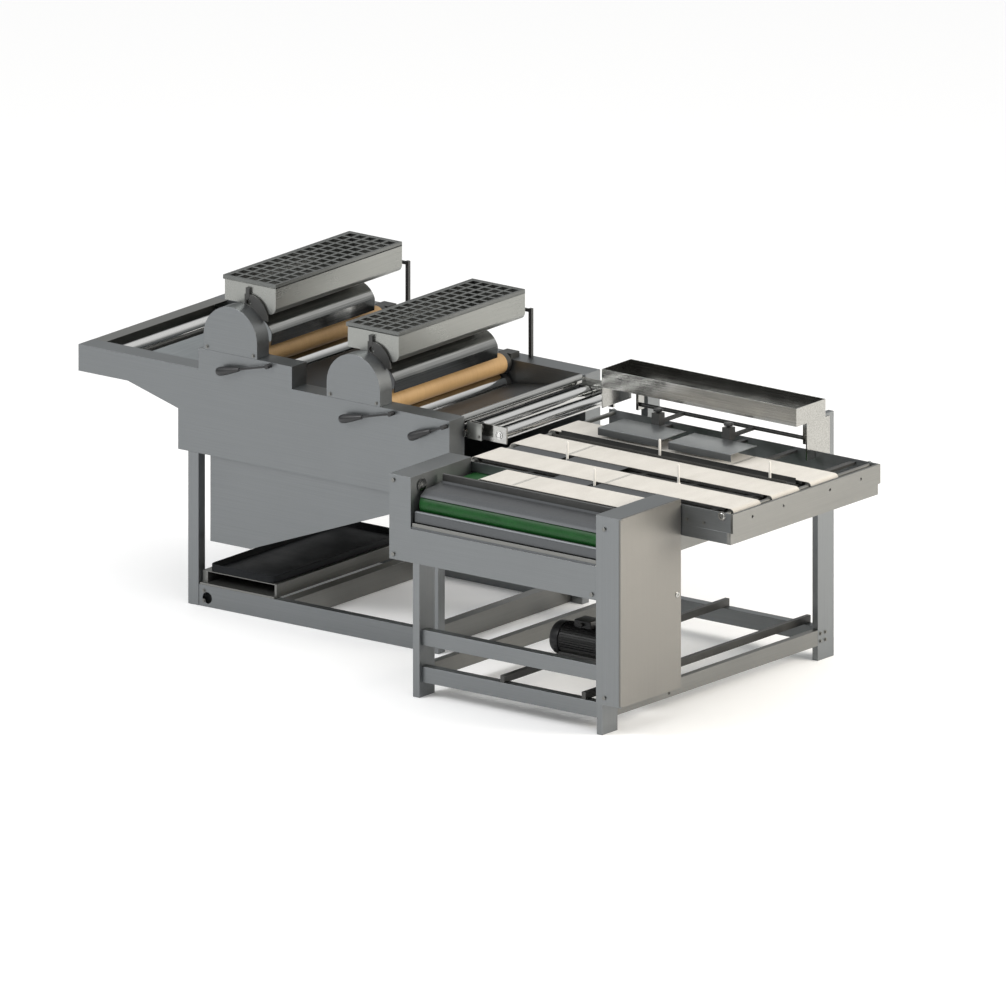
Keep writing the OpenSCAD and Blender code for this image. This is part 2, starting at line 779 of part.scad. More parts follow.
module trough() {
    color("dimgray") {
        difference() {
            slab(trough_x, trough_y, trough_z);
            slab([trough_x[0] + skin, trough_x[1] - skin], [trough_y[0] + skin, trough_y[1] - skin],
                [trough_z[0] + skin, trough_z[1] + 1]);
        }
        slab([trough_x[0], trough_x[0] + skin], trough_y, [883, trough_z[0] + 1]);
        difference() {
            slab([trough_x[1] - 6, trough_x[1]], [697, 840], [817, trough_z[0] + 1]);
            slab([trough_x[1] - 7, trough_x[1] + 1], [plate_y[1] - 0.5, plate_y[1] + 3.5],
                [816, plate_z[1] + 0.5]);
        }
        for (x = [[1600, 1612], [2400, 2412]])
            difference() {
                slab(x, [712, 748], [875, trough_z[0]]);
                bar_x(guide_axis[0], guide_axis[1], 8 + fit, [x[0] - 1, x[1] + 1]);
            }
    }
}

guide_x = [1816, 2154];

// The rod turns in two blocks under the trough. Its arms carry the side guides.
module guide_rod() {
    color("black") {
        bar_x(guide_axis[0], guide_axis[1], 8, [1594, 2418]);
        for (x = guide_x) {
            slab([x - 8, x + 8], [562, guide_axis[0]], [888, 900]);
            slab([x - 18, x + 18], [552, 588], [884, 932]);
        }
    }
}

module side_guides() {
    color("silver") for (x = guide_x) {
        slab([x - 150, x + 150], [392, 552], [884, 888]);
        slab([x - 150, x + 150], [388, 392], [858, 888]);
    }
}

pins = [[2065, -150], [2284, 89], [2008, 331], [1751, 89], [2536, 331]];

module guide_pins() {
    foot = strip_z + 2;
    color("white") for (p = pins)
        translate([p[0], p[1], foot]) cylinder(r = 5, h = belt_top + 65 - foot, $fn = 32);
}

bolt_at = [[cabinet_x[0] + 40, 815], [cabinet_x[0] + 40, 150], [post_x[0] + 20, 548],
    [cabinet_x[0] - 20, 548], [post_x[0] + 20, 840]];

module bolts() {
    color("gray") for (b = bolt_at)
        translate([b[0], y_near, b[1]]) rotate([90, 0, 0]) cylinder(r = 9, h = bolt_h, $fn = 6);
}

// Moves the machine so that the origin is under its middle, on the floor
module placed() {
    translate(-centre) children();
}

placed() near_side_panel();
placed() far_side_panel();
placed() infeed_end_panel();
placed() belly_cover();
placed() main_legs();
placed() base_rails();
placed() cross_rails();
placed() crumb_tray();
placed() infeed_idler();
placed() infeed_belt();
placed() infeed_tail_roller();
placed() infeed_drive_roller();
placed() discharge_decks();
placed() transfer_frame();
placed() transfer_roller_1();
placed() transfer_roller_2();
placed() gear_covers();
placed() hoppers();
placed() hanger_brackets();
placed() scrapers();
placed() bearing_carriage_1();
placed() bearing_carriage_2();
placed() upper_roller_1();
placed() upper_roller_2();
placed() lower_roller_1();
placed() lower_roller_2();
placed() roller_guard_1();
placed() roller_guard_2();
placed() grille_lid_1();
placed() grille_lid_2();
placed() duster_roller_1();
placed() duster_roller_2();
placed() gap_lever_1();
placed() gap_lever_2();
placed() deck_lever();
placed() lever_grip_1();
placed() lever_grip_2();
placed() lever_grip_3();
placed() table_front_panel();
placed() drive_cabinet();
placed() cabinet_door();
placed() table_legs();
placed() table_rails();
placed() table_cross_rails();
placed() drive_motor();
placed() table_side_plates();
placed() end_plate();
placed() strip_belts();
placed() belt_beds();
placed() belt_drive_shaft();
placed() nose_shaft();
placed() green_belt();
placed() green_front_roller();
placed() green_rear_roller();
placed() catch_tray();
placed() trough();
placed() guide_rod();
placed() side_guides();
placed() guide_pins();
placed() bolts();
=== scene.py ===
# %% [markdown]
# # A two-head dough sheeting line
# The machine has two parts. The sheeting unit presses dough between two pairs of rollers, each under a
# flour hopper. The strip-belt table after it carries the sheet on four cream belts above a green cross
# belt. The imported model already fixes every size, place and joint, so this notebook only gives the pieces
# their real edges, small parts and finishes.

# %% Load the frame
import json
import math

import bmesh
import bpy
from mathutils import Matrix, Vector

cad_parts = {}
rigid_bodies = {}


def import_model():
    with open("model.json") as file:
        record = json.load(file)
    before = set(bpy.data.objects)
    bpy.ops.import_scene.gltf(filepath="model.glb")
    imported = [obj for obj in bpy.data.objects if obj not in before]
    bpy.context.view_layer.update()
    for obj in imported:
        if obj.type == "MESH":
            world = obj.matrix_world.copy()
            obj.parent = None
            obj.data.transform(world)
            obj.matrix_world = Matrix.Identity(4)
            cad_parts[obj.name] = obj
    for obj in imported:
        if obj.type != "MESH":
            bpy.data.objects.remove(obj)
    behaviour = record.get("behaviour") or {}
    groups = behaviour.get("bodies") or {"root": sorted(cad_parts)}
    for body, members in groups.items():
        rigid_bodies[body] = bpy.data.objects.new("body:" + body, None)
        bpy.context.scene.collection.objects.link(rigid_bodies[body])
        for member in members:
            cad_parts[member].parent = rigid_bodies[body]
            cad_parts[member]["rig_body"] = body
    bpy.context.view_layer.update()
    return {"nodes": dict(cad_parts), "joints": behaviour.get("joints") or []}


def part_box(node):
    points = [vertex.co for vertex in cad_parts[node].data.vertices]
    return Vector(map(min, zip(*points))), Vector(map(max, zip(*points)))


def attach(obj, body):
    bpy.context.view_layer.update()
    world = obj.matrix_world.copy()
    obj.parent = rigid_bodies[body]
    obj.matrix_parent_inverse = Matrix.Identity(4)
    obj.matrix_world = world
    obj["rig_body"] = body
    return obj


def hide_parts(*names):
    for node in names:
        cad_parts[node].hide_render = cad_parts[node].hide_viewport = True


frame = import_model()
nodes = frame["nodes"]
scene = bpy.context.scene

# %% [markdown]
# ## The camera
# Machine builders show a line like this in a parallel view, so that lengths can be compared. A very long
# lens would come close, but an orthographic camera is exactly that. It looks down a little, from the
# near discharge corner, and it is aimed at a point beside the machine so that the table sits on the right.

# %% Place the camera
AZIMUTH = math.radians(37.6)
ELEVATION = math.radians(15.4)
VIEW_WIDTH = 3.823
AIM_RIGHT = 0.2006
AIM_UP = 0.5187
STAND_OFF = 12.0

right = Vector((math.cos(AZIMUTH), math.sin(AZIMUTH), 0))
forward = Vector((-math.sin(AZIMUTH) * math.cos(ELEVATION), math.cos(AZIMUTH) * math.cos(ELEVATION),
                  -math.sin(ELEVATION)))
up = right.cross(forward)
camera_data = bpy.data.cameras.new("studio_camera")
camera_data.type = "ORTHO"
camera_data.ortho_scale = VIEW_WIDTH
camera_data.clip_end = 100
camera = bpy.data.objects.new("studio_camera", camera_data)
camera.location = right * AIM_RIGHT + up * AIM_UP - forward * STAND_OFF
camera.rotation_mode = "QUATERNION"
camera.rotation_quaternion = forward.to_track_quat("-Z", "Y")
scene.collection.objects.link(camera)
scene.camera = camera
scene.view_settings.view_transform = "Standard"
print("camera at", [round(v, 2) for v in camera.location])

# %% [markdown]
# ## Floor and light
# Steel shows its surroundings more than its own colour, so the studio matters as much as the steel. The
# pale floor is what the upright faces mirror, and it gives them their even grey. It is one large square
# just under the feet. It glows a little, so that it stays paler than the machine's shadow alone would
# leave it. A staged piece belongs to the studio and not to the machine.

# %% Make the floor
FLOOR_HALF = 30.0
FLOOR_DROP = 0.0005
FLOOR_GREY = 0.93
FLOOR_GLOW = 0.10

floor_mesh = bpy.data.meshes.new("studio_floor")
bm = bmesh.new()
bmesh.ops.create_grid(bm, x_segments=1, y_segments=1, size=FLOOR_HALF)
bmesh.ops.translate(bm, verts=bm.verts, vec=(0, 0, -FLOOR_DROP))
bm.to_mesh(floor_mesh)
bm.free()
floor = bpy.data.objects.new("studio_floor", floor_mesh)
scene.collection.objects.link(floor)
floor_paint = bpy.data.materials.new("studio_floor_paint")
floor_paint.use_nodes = True
floor_shader = floor_paint.node_tree.nodes["Principled BSDF"]
floor_shader.inputs["Base Color"].default_value = (FLOOR_GREY, FLOOR_GREY, FLOOR_GREY, 1)
floor_shader.inputs["Roughness"].default_value = 0.8
floor_shader.inputs["Specular IOR Level"].default_value = 0.15
floor_shader.inputs["Emission Color"].default_value = (1, 1, 1, 1)
floor_shader.inputs["Emission Strength"].default_value = FLOOR_GLOW
floor_mesh.materials.append(floor_paint)
print("floor", FLOOR_HALF * 2, "m wide")

# %% [markdown]
# ## The sky and the lights
# From this low view the flat tops mirror the sky near the horizon. The sky is therefore a gradient, dark
# near the horizon and bright overhead, which turns the tops dark. Two large soft lights are added: one
# warms the discharge side, and one from the front gives a gentle shadow. Lamps alone would leave the steel
# black between their reflections.

# %% Light the studio
HORIZON_END = 0.20
SKY_START = 0.55

world = bpy.data.worlds.new("studio_sky")
world.use_nodes = True
scene.world = world
sky_nodes = world.node_tree.nodes
sky_links = world.node_tree.links
sky = sky_nodes["Background"]
direction = sky_nodes.new("ShaderNodeTexCoord")
split = sky_nodes.new("ShaderNodeSeparateXYZ")
height = sky_nodes.new("ShaderNodeValToRGB")
sky_links.new(direction.outputs["Generated"], split.inputs["Vector"])
sky_links.new(split.outputs["Z"], height.inputs["Fac"])
sky_links.new(height.outputs["Color"], sky.inputs["Color"])
height.color_ramp.elements[0].position = HORIZON_END
height.color_ramp.elements[0].color = (0.22, 0.23, 0.23, 1)
height.color_ramp.elements[1].position = SKY_START
height.color_ramp.elements[1].color = (1.0, 1.0, 1.0, 1)
sky.inputs["Strength"].default_value = 1.0


def soft_light(name, place, aim, size, power, colour):
    """A square area light aimed at a point."""
    data = bpy.data.lights.new(name, "AREA")
    data.size = size
    data.energy = power
    data.color = colour
    lamp = bpy.data.objects.new(name, data)
    lamp.location = place
    lamp.rotation_mode = "QUATERNION"
    lamp.rotation_quaternion = (Vector(aim) - Vector(place)).to_track_quat("-Z", "Y")
    scene.collection.objects.link(lamp)
    return lamp


soft_light("warm_side", (6.0, 2.0, 2.6), (0.6, 0, 0.6), 3.0, 330, (1.0, 0.94, 0.84))
soft_light("front_key", (-2.5, -5.0, 5.0), (0, 0, 0.6), 2.5, 240, (1.0, 1.0, 1.0))

# %% [markdown]
# ## Node helpers
# Every finish is a small node tree on Object coordinates, which are metres here because each mesh is
# stored in place. Seven helpers keep the trees short. They start a material, scale its coordinates, make a
# stretched noise, map a noise onto a range of values, choose between two colours, do one maths step, and
# turn a height into a bump.

# %% Node helpers
def start_material(name):
    """A new node material: the material, its tree and its main shader."""
    material = bpy.data.materials.new(name)
    material.use_nodes = True
    tree = material.node_tree
    return material, tree, tree.nodes["Principled BSDF"]


def place_on(tree, scale):
    """Object coordinates multiplied by a scale for each axis."""
    coords = tree.nodes.new("ShaderNodeTexCoord")
    mapping = tree.nodes.new("ShaderNodeMapping")
    mapping.inputs["Scale"].default_value = scale
    tree.links.new(coords.outputs["Object"], mapping.inputs["Vector"])
    return mapping.outputs["Vector"]


def noise(tree, scale, detail=3.0, rough=0.55):
    """Cloudy noise, stretched by giving each axis its own scale."""
    cloud = tree.nodes.new("ShaderNodeTexNoise")
    cloud.inputs["Scale"].default_value = 1.0
    cloud.inputs["Detail"].default_value = detail
    cloud.inputs["Roughness"].default_value = rough
    tree.links.new(place_on(tree, scale), cloud.inputs["Vector"])
    return cloud.outputs["Fac"]


def spread(tree, value, low, high, start=0.3, stop=0.7):
    """Maps a noise's middle range onto low..high."""
    ranger = tree.nodes.new("ShaderNodeMapRange")
    ranger.inputs["From Min"].default_value = start
    ranger.inputs["From Max"].default_value = stop
    ranger.inputs["To Min"].default_value = low
    ranger.inputs["To Max"].default_value = high
    tree.links.new(value, ranger.inputs["Value"])
    return ranger.outputs["Result"]


# A Mix node has sockets for every data type. These are the places of its colour sockets.
COLOUR_A, COLOUR_B, COLOUR_RESULT = 6, 7, 2


def two_colours(tree, value, first, second):
    """A colour between two, chosen by a 0 to 1 value."""
    mixer = tree.nodes.new("ShaderNodeMix")
    mixer.data_type = "RGBA"
    mixer.inputs[COLOUR_A].default_value = (*first, 1)
    mixer.inputs[COLOUR_B].default_value = (*second, 1)
    tree.links.new(value, mixer.inputs[0])
    return mixer.outputs[COLOUR_RESULT]


def combine(tree, operation, first, second):
    """One maths step between two values, where the second may be a number."""
    step = tree.nodes.new("ShaderNodeMath")
    step.operation = operation
    tree.links.new(first, step.inputs[0])
    if isinstance(second, (int, float)):
        step.inputs[1].default_value = second
    else:
        tree.links.new(second, step.inputs[1])
    return step.outputs["Value"]


def raise_surface(tree, shader, height_value, strength, depth):
    """Bump from a height value, depth in metres."""
    bump = tree.nodes.new("ShaderNodeBump")
    bump.inputs["Strength"].default_value = strength
    bump.inputs["Distance"].default_value = depth
    tree.links.new(height_value, bump.inputs["Height"])
    tree.links.new(bump.outputs["Normal"], shader.inputs["Normal"])


# %% [markdown]
# ## Steel finishes
# The frame is satin stainless sheet: fine brushed lines along each part's length, a few cloudy handling
# marks, and a soft reflection. A noise stretched along one axis gives the lines. The guards, the rollers,
# the trough and the transfer frame are polished, so they get low roughness, faint rubbed streaks and a
# slight waviness that bends reflections the way thin sheet does.

# %% Steel finishes
GRAIN_X = (2.5, 420, 420)
GRAIN_Y = (420, 2.5, 420)
GRAIN_Z = (420, 420, 2.5)
CLOUD = (3.2, 3.2, 3.2)
RUB_X = (2, 260, 260)
RUB_Y = (260, 2, 260)
GROUND = (500, 500, 500)


def satin_steel(name, light, dark, grain, rough=0.40):
    """Brushed stainless sheet."""
    material, tree, shader = start_material(name)
    lines = noise(tree, grain, detail=5.0)
    marks = noise(tree, CLOUD, detail=6.0, rough=0.6)
    shade = combine(tree, "ADD", spread(tree, lines, 0.0, 0.6), spread(tree, marks, 0.0, 0.4))
    tree.links.new(two_colours(tree, shade, dark, light), shader.inputs["Base Color"])
    wear = combine(tree, "ADD", spread(tree, marks, rough - 0.06, rough + 0.08),
                   spread(tree, lines, -0.04, 0.04))
    tree.links.new(wear, shader.inputs["Roughness"])
    shader.inputs["Metallic"].default_value = 0.9
    raise_surface(tree, shader, lines, 0.06, 0.0002)
    return material


def polished_steel(name, light, dark, grain, rough=0.12):
    """Buffed sheet or ground roller: clear reflections with faint rubbed streaks."""
    material, tree, shader = start_material(name)
    streaks = noise(tree, grain, detail=5.0)
    waves = noise(tree, (6, 6, 6), detail=1.0)
    marks = noise(tree, (9, 9, 9), detail=6.0, rough=0.65)
    tree.links.new(two_colours(tree, spread(tree, streaks, 0, 1), dark, light),
                   shader.inputs["Base Color"])
    tree.links.new(combine(tree, "ADD", spread(tree, marks, rough - 0.05, rough + 0.10),
                           spread(tree, streaks, -0.03, 0.03)), shader.inputs["Roughness"])
    shader.inputs["Metallic"].default_value = 1.0
    raise_surface(tree, shader, combine(tree, "ADD", waves, spread(tree, streaks, 0, 0.02)), 0.35, 0.004)
    return material


steel_along = satin_steel("satin_steel_along", (0.215, 0.225, 0.23), (0.17, 0.18, 0.185), GRAIN_X)
steel_upright = satin_steel("satin_steel_upright", (0.225, 0.235, 0.24), (0.18, 0.19, 0.195), GRAIN_Z)
steel_across = satin_steel("satin_steel_across", (0.22, 0.22, 0.21), (0.175, 0.176, 0.168), GRAIN_Y)
# The door's copy is tinted warm. This is a painted warm light: the beige that the warm side lamp casts on
# faces turned to the discharge end.
steel_painted_warm_light = satin_steel("painted_warm_light_satin_steel", (0.235, 0.228, 0.213), (0.20, 0.194, 0.18), GRAIN_Z, 0.48)
# A darker copy of the brushed steel. The grain is real, but the darkness is painted shade for the decks and
# the sheets set low among the belts.
steel_painted_shade = satin_steel("painted_shade_deck_steel", (0.13, 0.135, 0.14), (0.085, 0.09, 0.095), GRAIN_Y, 0.42)
steel_bright = satin_steel("bright_sheet_steel", (0.31, 0.315, 0.30), (0.25, 0.255, 0.24), GRAIN_Y, 0.30)
polish_across = polished_steel("polished_steel_across", (0.46, 0.46, 0.445), (0.27, 0.27, 0.26), RUB_Y)
polish_along = polished_steel("polished_steel_along", (0.40, 0.40, 0.385), (0.24, 0.24, 0.23), RUB_X, 0.14)
polish_roller = polished_steel("ground_roller_steel", (0.62, 0.62, 0.61), (0.48, 0.48, 0.47), GROUND, 0.09)
print("steel finishes ready")

# %% [markdown]
# ## Belts, sleeve, plastic and dark parts
# The cream belts are taken to be woven cotton with a plain weave of about one thread a millimetre, and two
# crossed wave patterns give it. The green belt is a smooth coated belt, the infeed belt is grey rubber, and
# the upper rollers wear a tan plastic sleeve with faint turned rings. Black parts are moulded or painted.

# %% Belt, sleeve and paint finishes
THREADS_PER_METRE = 1114.5
# A wave texture of scale 1 repeats this often in each unit of its coordinates.
RIPPLES_AT_SCALE_ONE = 20 / math.tau


def waves_along(tree, axis, per_metre):
    """A sine ripple along one axis, 0 to 1."""
    ripple = tree.nodes.new("ShaderNodeTexWave")
    ripple.bands_direction = axis
    ripple.inputs["Scale"].default_value = per_metre / RIPPLES_AT_SCALE_ONE
    tree.links.new(place_on(tree, (1, 1, 1)), ripple.inputs["Vector"])
    return ripple.outputs["Fac"]


def woven_belt(name, light, dark):
    """Woven belting with threads along X and Y."""
    material, tree, shader = start_material(name)
    warp = waves_along(tree, "X", THREADS_PER_METRE)
    weft = waves_along(tree, "Y", THREADS_PER_METRE)
    weave = combine(tree, "MULTIPLY", warp, weft)
    flour = noise(tree, (14, 5, 14), detail=6.0, rough=0.7)
    shade = combine(tree, "ADD", spread(tree, weave, 0.0, 0.35, 0, 1), spread(tree, flour, 0.0, 0.65))
    tree.links.new(two_colours(tree, shade, dark, light), shader.inputs["Base Color"])
    tree.links.new(spread(tree, flour, 0.78, 0.92), shader.inputs["Roughness"])
    shader.inputs["Sheen Weight"].default_value = 0.25
    raise_surface(tree, shader, weave, 0.5, 0.0003)
    return material


def coated_belt(name, light, dark, rough):
    """Smooth coated belting with rubbed lines along its run."""
    material, tree, shader = start_material(name)
    rubs = noise(tree, (160, 4, 160), detail=5.0)
    dust = noise(tree, (11, 11, 11), detail=7.0, rough=0.7)
    shade = combine(tree, "ADD", spread(tree, rubs, 0, 0.5), spread(tree, dust, 0, 0.5))
    tree.links.new(two_colours(tree, shade, dark, light), shader.inputs["Base Color"])
    tree.links.new(spread(tree, dust, rough - 0.08, rough + 0.12), shader.inputs["Roughness"])
    shader.inputs["Specular IOR Level"].default_value = 0.28
    raise_surface(tree, shader, rubs, 0.1, 0.0002)
    return material


def turned_sleeve(name, light, dark):
    """Tan plastic roller sleeve with turned rings and a dusting of flour."""
    material, tree, shader = start_material(name)
    rings = noise(tree, (3, 260, 3), detail=4.0)
    dust = noise(tree, (18, 10, 18), detail=7.0, rough=0.7)
    shade = combine(tree, "ADD", spread(tree, rings, 0, 0.45), spread(tree, dust, 0, 0.55))
    tree.links.new(two_colours(tree, shade, dark, light), shader.inputs["Base Color"])
    tree.links.new(spread(tree, dust, 0.40, 0.62), shader.inputs["Roughness"])
    raise_surface(tree, shader, rings, 0.15, 0.0002)
    return material


def painted(name, light, dark, rough, grain_size=900.0, gloss=0.5):
    """Paint or moulded plastic with a fine texture and worn patches."""
    material, tree, shader = start_material(name)
    pebble = noise(tree, (grain_size, grain_size, grain_size), detail=2.0)
    worn = noise(tree, (7, 7, 7), detail=6.0, rough=0.65)
    tree.links.new(two_colours(tree, spread(tree, worn, 0, 1), dark, light), shader.inputs["Base Color"])
    tree.links.new(spread(tree, worn, rough - 0.08, rough + 0.10), shader.inputs["Roughness"])
    shader.inputs["Specular IOR Level"].default_value = gloss
    raise_surface(tree, shader, pebble, 0.25, 0.0002)
    return material


cream_weave = woven_belt("cream_belt_weave", (0.60, 0.575, 0.53), (0.47, 0.445, 0.40))
green_coat = coated_belt("green_belt_coating", (0.008, 0.090, 0.014), (0.003, 0.036, 0.006), 0.42)
grey_rubber = coated_belt("grey_infeed_rubber", (0.20, 0.215, 0.22), (0.14, 0.155, 0.16), 0.50)
tan_sleeve = turned_sleeve("tan_roller_sleeve", (0.58, 0.37, 0.17), (0.46, 0.28, 0.12))
black_grip = painted("black_grip_plastic", (0.018, 0.018, 0.019), (0.008, 0.008, 0.009), 0.38)
black_tray = painted("black_tray_plastic", (0.012, 0.013, 0.015), (0.005, 0.006, 0.007), 0.50,
                     grain_size=500.0, gloss=0.15)
dark_paint = painted("dark_machine_paint", (0.045, 0.045, 0.043), (0.022, 0.022, 0.021), 0.40)
white_pin = painted("white_pin_plastic", (0.78, 0.76, 0.72), (0.66, 0.64, 0.60), 0.35)
print("belt, sleeve and paint finishes ready")

# %% [markdown]
# ## Folded edges on the sheet metal
# A computer-made box has knife edges, but folded and welded sheet has edges with a radius of about a
# millimetre, and the thin line of light along them is what makes it read as metal. Each sheet, welded or
# cast part is therefore a merged copy of its CAD mesh: flat triangles are dissolved back into whole faces,
# and every sharp edge is bevelled. A Bevel modifier would do it too, but the loose CAD triangles have to be
# merged first in any case.

# %% Make the folded-edge copies
SHARP = math.radians(32)
FOLD_SHARP = math.radians(40)
FOLD_RADIUS = 0.0014
FOLD_STEPS = 2
MERGE = 0.00002
FLAT = math.radians(1)


def add_piece(name, mesh, body, materials):
    """Links a mesh as a piece that rides on a body."""
    piece = bpy.data.objects.new(name, mesh)
    scene.collection.objects.link(piece)
    for material in materials:
        mesh.materials.append(material)
    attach(piece, body)
    return piece


def shade_by_angle(mesh, angle=SHARP):
    """Smooth shading that keeps edges sharper than the angle crisp."""
    for face in mesh.polygons:
        face.use_smooth = True
    mesh.set_sharp_from_angle(angle=angle)


def even_normals(piece):
    """Lets the large flat faces set the shading, so that narrow bevels stay soft and flats stay flat."""
    modifier = piece.modifiers.new("even_normals", "WEIGHTED_NORMAL")
    modifier.keep_sharp = True
    modifier.weight = 100


def body_holding(node):
    """The body that a CAD node belongs to."""
    return nodes[node]["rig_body"]


def folded_copy(node, material):
    """A copy of a CAD node with rounded edges, shown in the node's place."""
    bm = bmesh.new()
    bm.from_mesh(nodes[node].data)
    bmesh.ops.remove_doubles(bm, verts=bm.verts, dist=MERGE)
    bmesh.ops.dissolve_limit(bm, angle_limit=FLAT, verts=bm.verts, edges=bm.edges)
    sharp = [e for e in bm.edges if len(e.link_faces) == 2 and e.calc_face_angle(0) > SHARP]
    bmesh.ops.bevel(bm, geom=sharp, offset=FOLD_RADIUS, segments=FOLD_STEPS, affect="EDGES",
                    profile=0.5, clamp_overlap=True, material=-1)
    mesh = bpy.data.meshes.new(node + "_folded")
    bm.to_mesh(mesh)
    bm.free()
    shade_by_angle(mesh, FOLD_SHARP)
    piece = add_piece(node + "_folded", mesh, body_holding(node), [material])
    even_normals(piece)
    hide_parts(node)
    return piece


FOLDED = {
    "near_side_panel": steel_along, "far_side_panel": steel_along, "gear_covers": steel_along,
    "infeed_end_panel": steel_across, "belly_cover": steel_along, "main_legs": steel_upright,
    "base_rails": steel_along, "cross_rails": steel_across, "table_front_panel": steel_along,
    # The door's warm steel is a painted warm light.
    "drive_cabinet": steel_upright, "cabinet_door": steel_painted_warm_light, "table_legs": steel_upright,
    "table_rails": steel_along, "table_cross_rails": steel_across, "table_side_plates": steel_along,
    "end_plate": steel_across, "transfer_frame": polish_across, "catch_tray": steel_across,
    # The decks' darker steel is painted shade.
    "side_guides": steel_along, "discharge_decks": steel_painted_shade, "scrapers": steel_across,
    "trough": polish_along, "hanger_brackets": dark_paint,
    # The belt beds' dark paint is painted shade: they show only in the shaded spaces under the belts.
    "bolts": steel_across, "belt_beds": dark_paint, "drive_motor": dark_paint,
    "bearing_carriage_1": dark_paint, "bearing_carriage_2": dark_paint, "guide_rod": dark_paint,
    "hoppers": steel_bright,
}
for node, material in FOLDED.items():
    folded_copy(node, material)
print("folded-edge pieces:", len(FOLDED))

# %% [markdown]
# ## Nodes that keep their CAD shape
# Belts, plain rollers, shafts, guards and levers are already smooth round or thin shapes, and their CAD
# meshes are fine as they are. They only take a finish. The nodes printed as left over get a shaped piece of
# their own in the cells below.

# %% Give the remaining nodes their finish
PLAIN = {
    "infeed_belt": grey_rubber, "strip_belts": cream_weave, "green_belt": green_coat,
    "infeed_idler": polish_roller, "infeed_tail_roller": polish_roller,
    "infeed_drive_roller": polish_roller, "transfer_roller_1": polish_roller,
    "transfer_roller_2": polish_roller, "roller_guard_1": polish_across, "roller_guard_2": polish_across,
    "duster_roller_1": dark_paint, "duster_roller_2": dark_paint, "gap_lever_1": black_grip,
    "gap_lever_2": black_grip,
    "deck_lever": black_grip, "belt_drive_shaft": steel_across, "nose_shaft": steel_across,
    "green_front_roller": polish_roller, "green_rear_roller": polish_roller,
}
for node, material in PLAIN.items():
    nodes[node].data.materials.clear()
    nodes[node].data.materials.append(material)
print("nodes left for shaped pieces:", sorted(set(nodes) - set(PLAIN) - set(FOLDED)))

# %% [markdown]
# ## Fasteners
# Hexagon heads on washers hold the floor rails and the gear covers. They are tiny, so one short helper
# makes a head from a six-sided bar and a washer from a flat round one, and a whole group of them is joined
# into one mesh. Each group rides on the frame, like the sheet that it holds.

# %% Fastener helper
def rod_between(bm, start, end, radius, segments):
    """Adds a closed bar with a regular outline between two points."""
    start, end = Vector(start), Vector(end)
    run = end - start
    made = bmesh.ops.create_cone(bm, cap_ends=True, cap_tris=False, segments=segments, radius1=radius,
                                 radius2=radius, depth=run.length)
    turn = run.to_track_quat("Z", "Y").to_matrix().to_4x4()
    bmesh.ops.transform(bm, matrix=Matrix.Translation((start + end) / 2) @ turn, verts=made["verts"])


def mesh_from(bm, name, angle=SHARP):
    """Closes a bmesh into a mesh with outward faces and crisp sharp edges."""
    bmesh.ops.recalc_face_normals(bm, faces=bm.faces)
    mesh = bpy.data.meshes.new(name)
    bm.to_mesh(mesh)
    bm.free()
    shade_by_angle(mesh, angle)
    return mesh


WASHER_HEIGHT = 0.25
WASHER_REACH = 1.6
HEAD_TOP = 1.15


def bolt_group(name, spots, size):
    """Hexagon bolts on washers. Each spot is a place on a surface and the direction it faces."""
    bm = bmesh.new()
    for place, facing in spots:
        place, facing = Vector(place), Vector(facing)
        seat = place + facing * size * WASHER_HEIGHT
        rod_between(bm, place, seat, size * WASHER_REACH, 20)
        rod_between(bm, seat, place + facing * size * HEAD_TOP, size, 6)
    return add_piece(name, mesh_from(bm, name), "frame", [steel_across])


NEAR = (0, -1, 0)
OUT = (1, 0, 0)
HEAD_PITCH = 0.590
HEAD_FALL = 0.088
RAIL_INSET = 0.075
COVER_INSET = 0.018

panel_low, panel_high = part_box("near_side_panel")
leg_low, leg_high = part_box("main_legs")
rail_spots = [((x, leg_low.y + 0.002, z), NEAR)
              for x in (leg_low.x + RAIL_INSET, leg_high.x - RAIL_INSET) for z in (0.022, 0.062)]
cover_low, cover_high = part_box("gear_covers")
cover_width = cover_high.x - cover_low.x - HEAD_PITCH
cover_spots = [((cover_low.x + i * HEAD_PITCH + dx, panel_low.y, panel_high.z - i * HEAD_FALL + 0.012),
                NEAR) for i in (0, 1) for dx in (COVER_INSET, cover_width - COVER_INSET)]
unit_bolts = bolt_group("unit_bolts", rail_spots + cover_spots, 0.005)
print("faces of the sheeting unit's bolts:", len(unit_bolts.data.polygons))

# %% [markdown]
# ## Perforated lids
# Each hopper is closed by a guard that lets flour in but keeps hands out: a plate with rows of openings
# between ribs. Cutting seventy-five holes with booleans would be slow and would leave long thin faces. A
# grid whose cells are inset gives the ribs directly. The inner faces are deleted for the openings, and the
# rest is thickened and edged with a frame.

# %% Make the perforated lids
LID_CELLS = (5, 15)
RIB = 0.0068
RIB_DEPTH = 0.003
RIB_SHEET = 0.0025
RIB_DROP = 0.0006
LID_BORDER = 0.010
steel_lid = satin_steel("lid_steel", (0.20, 0.205, 0.20), (0.10, 0.105, 0.10), GRAIN_Y, 0.36)


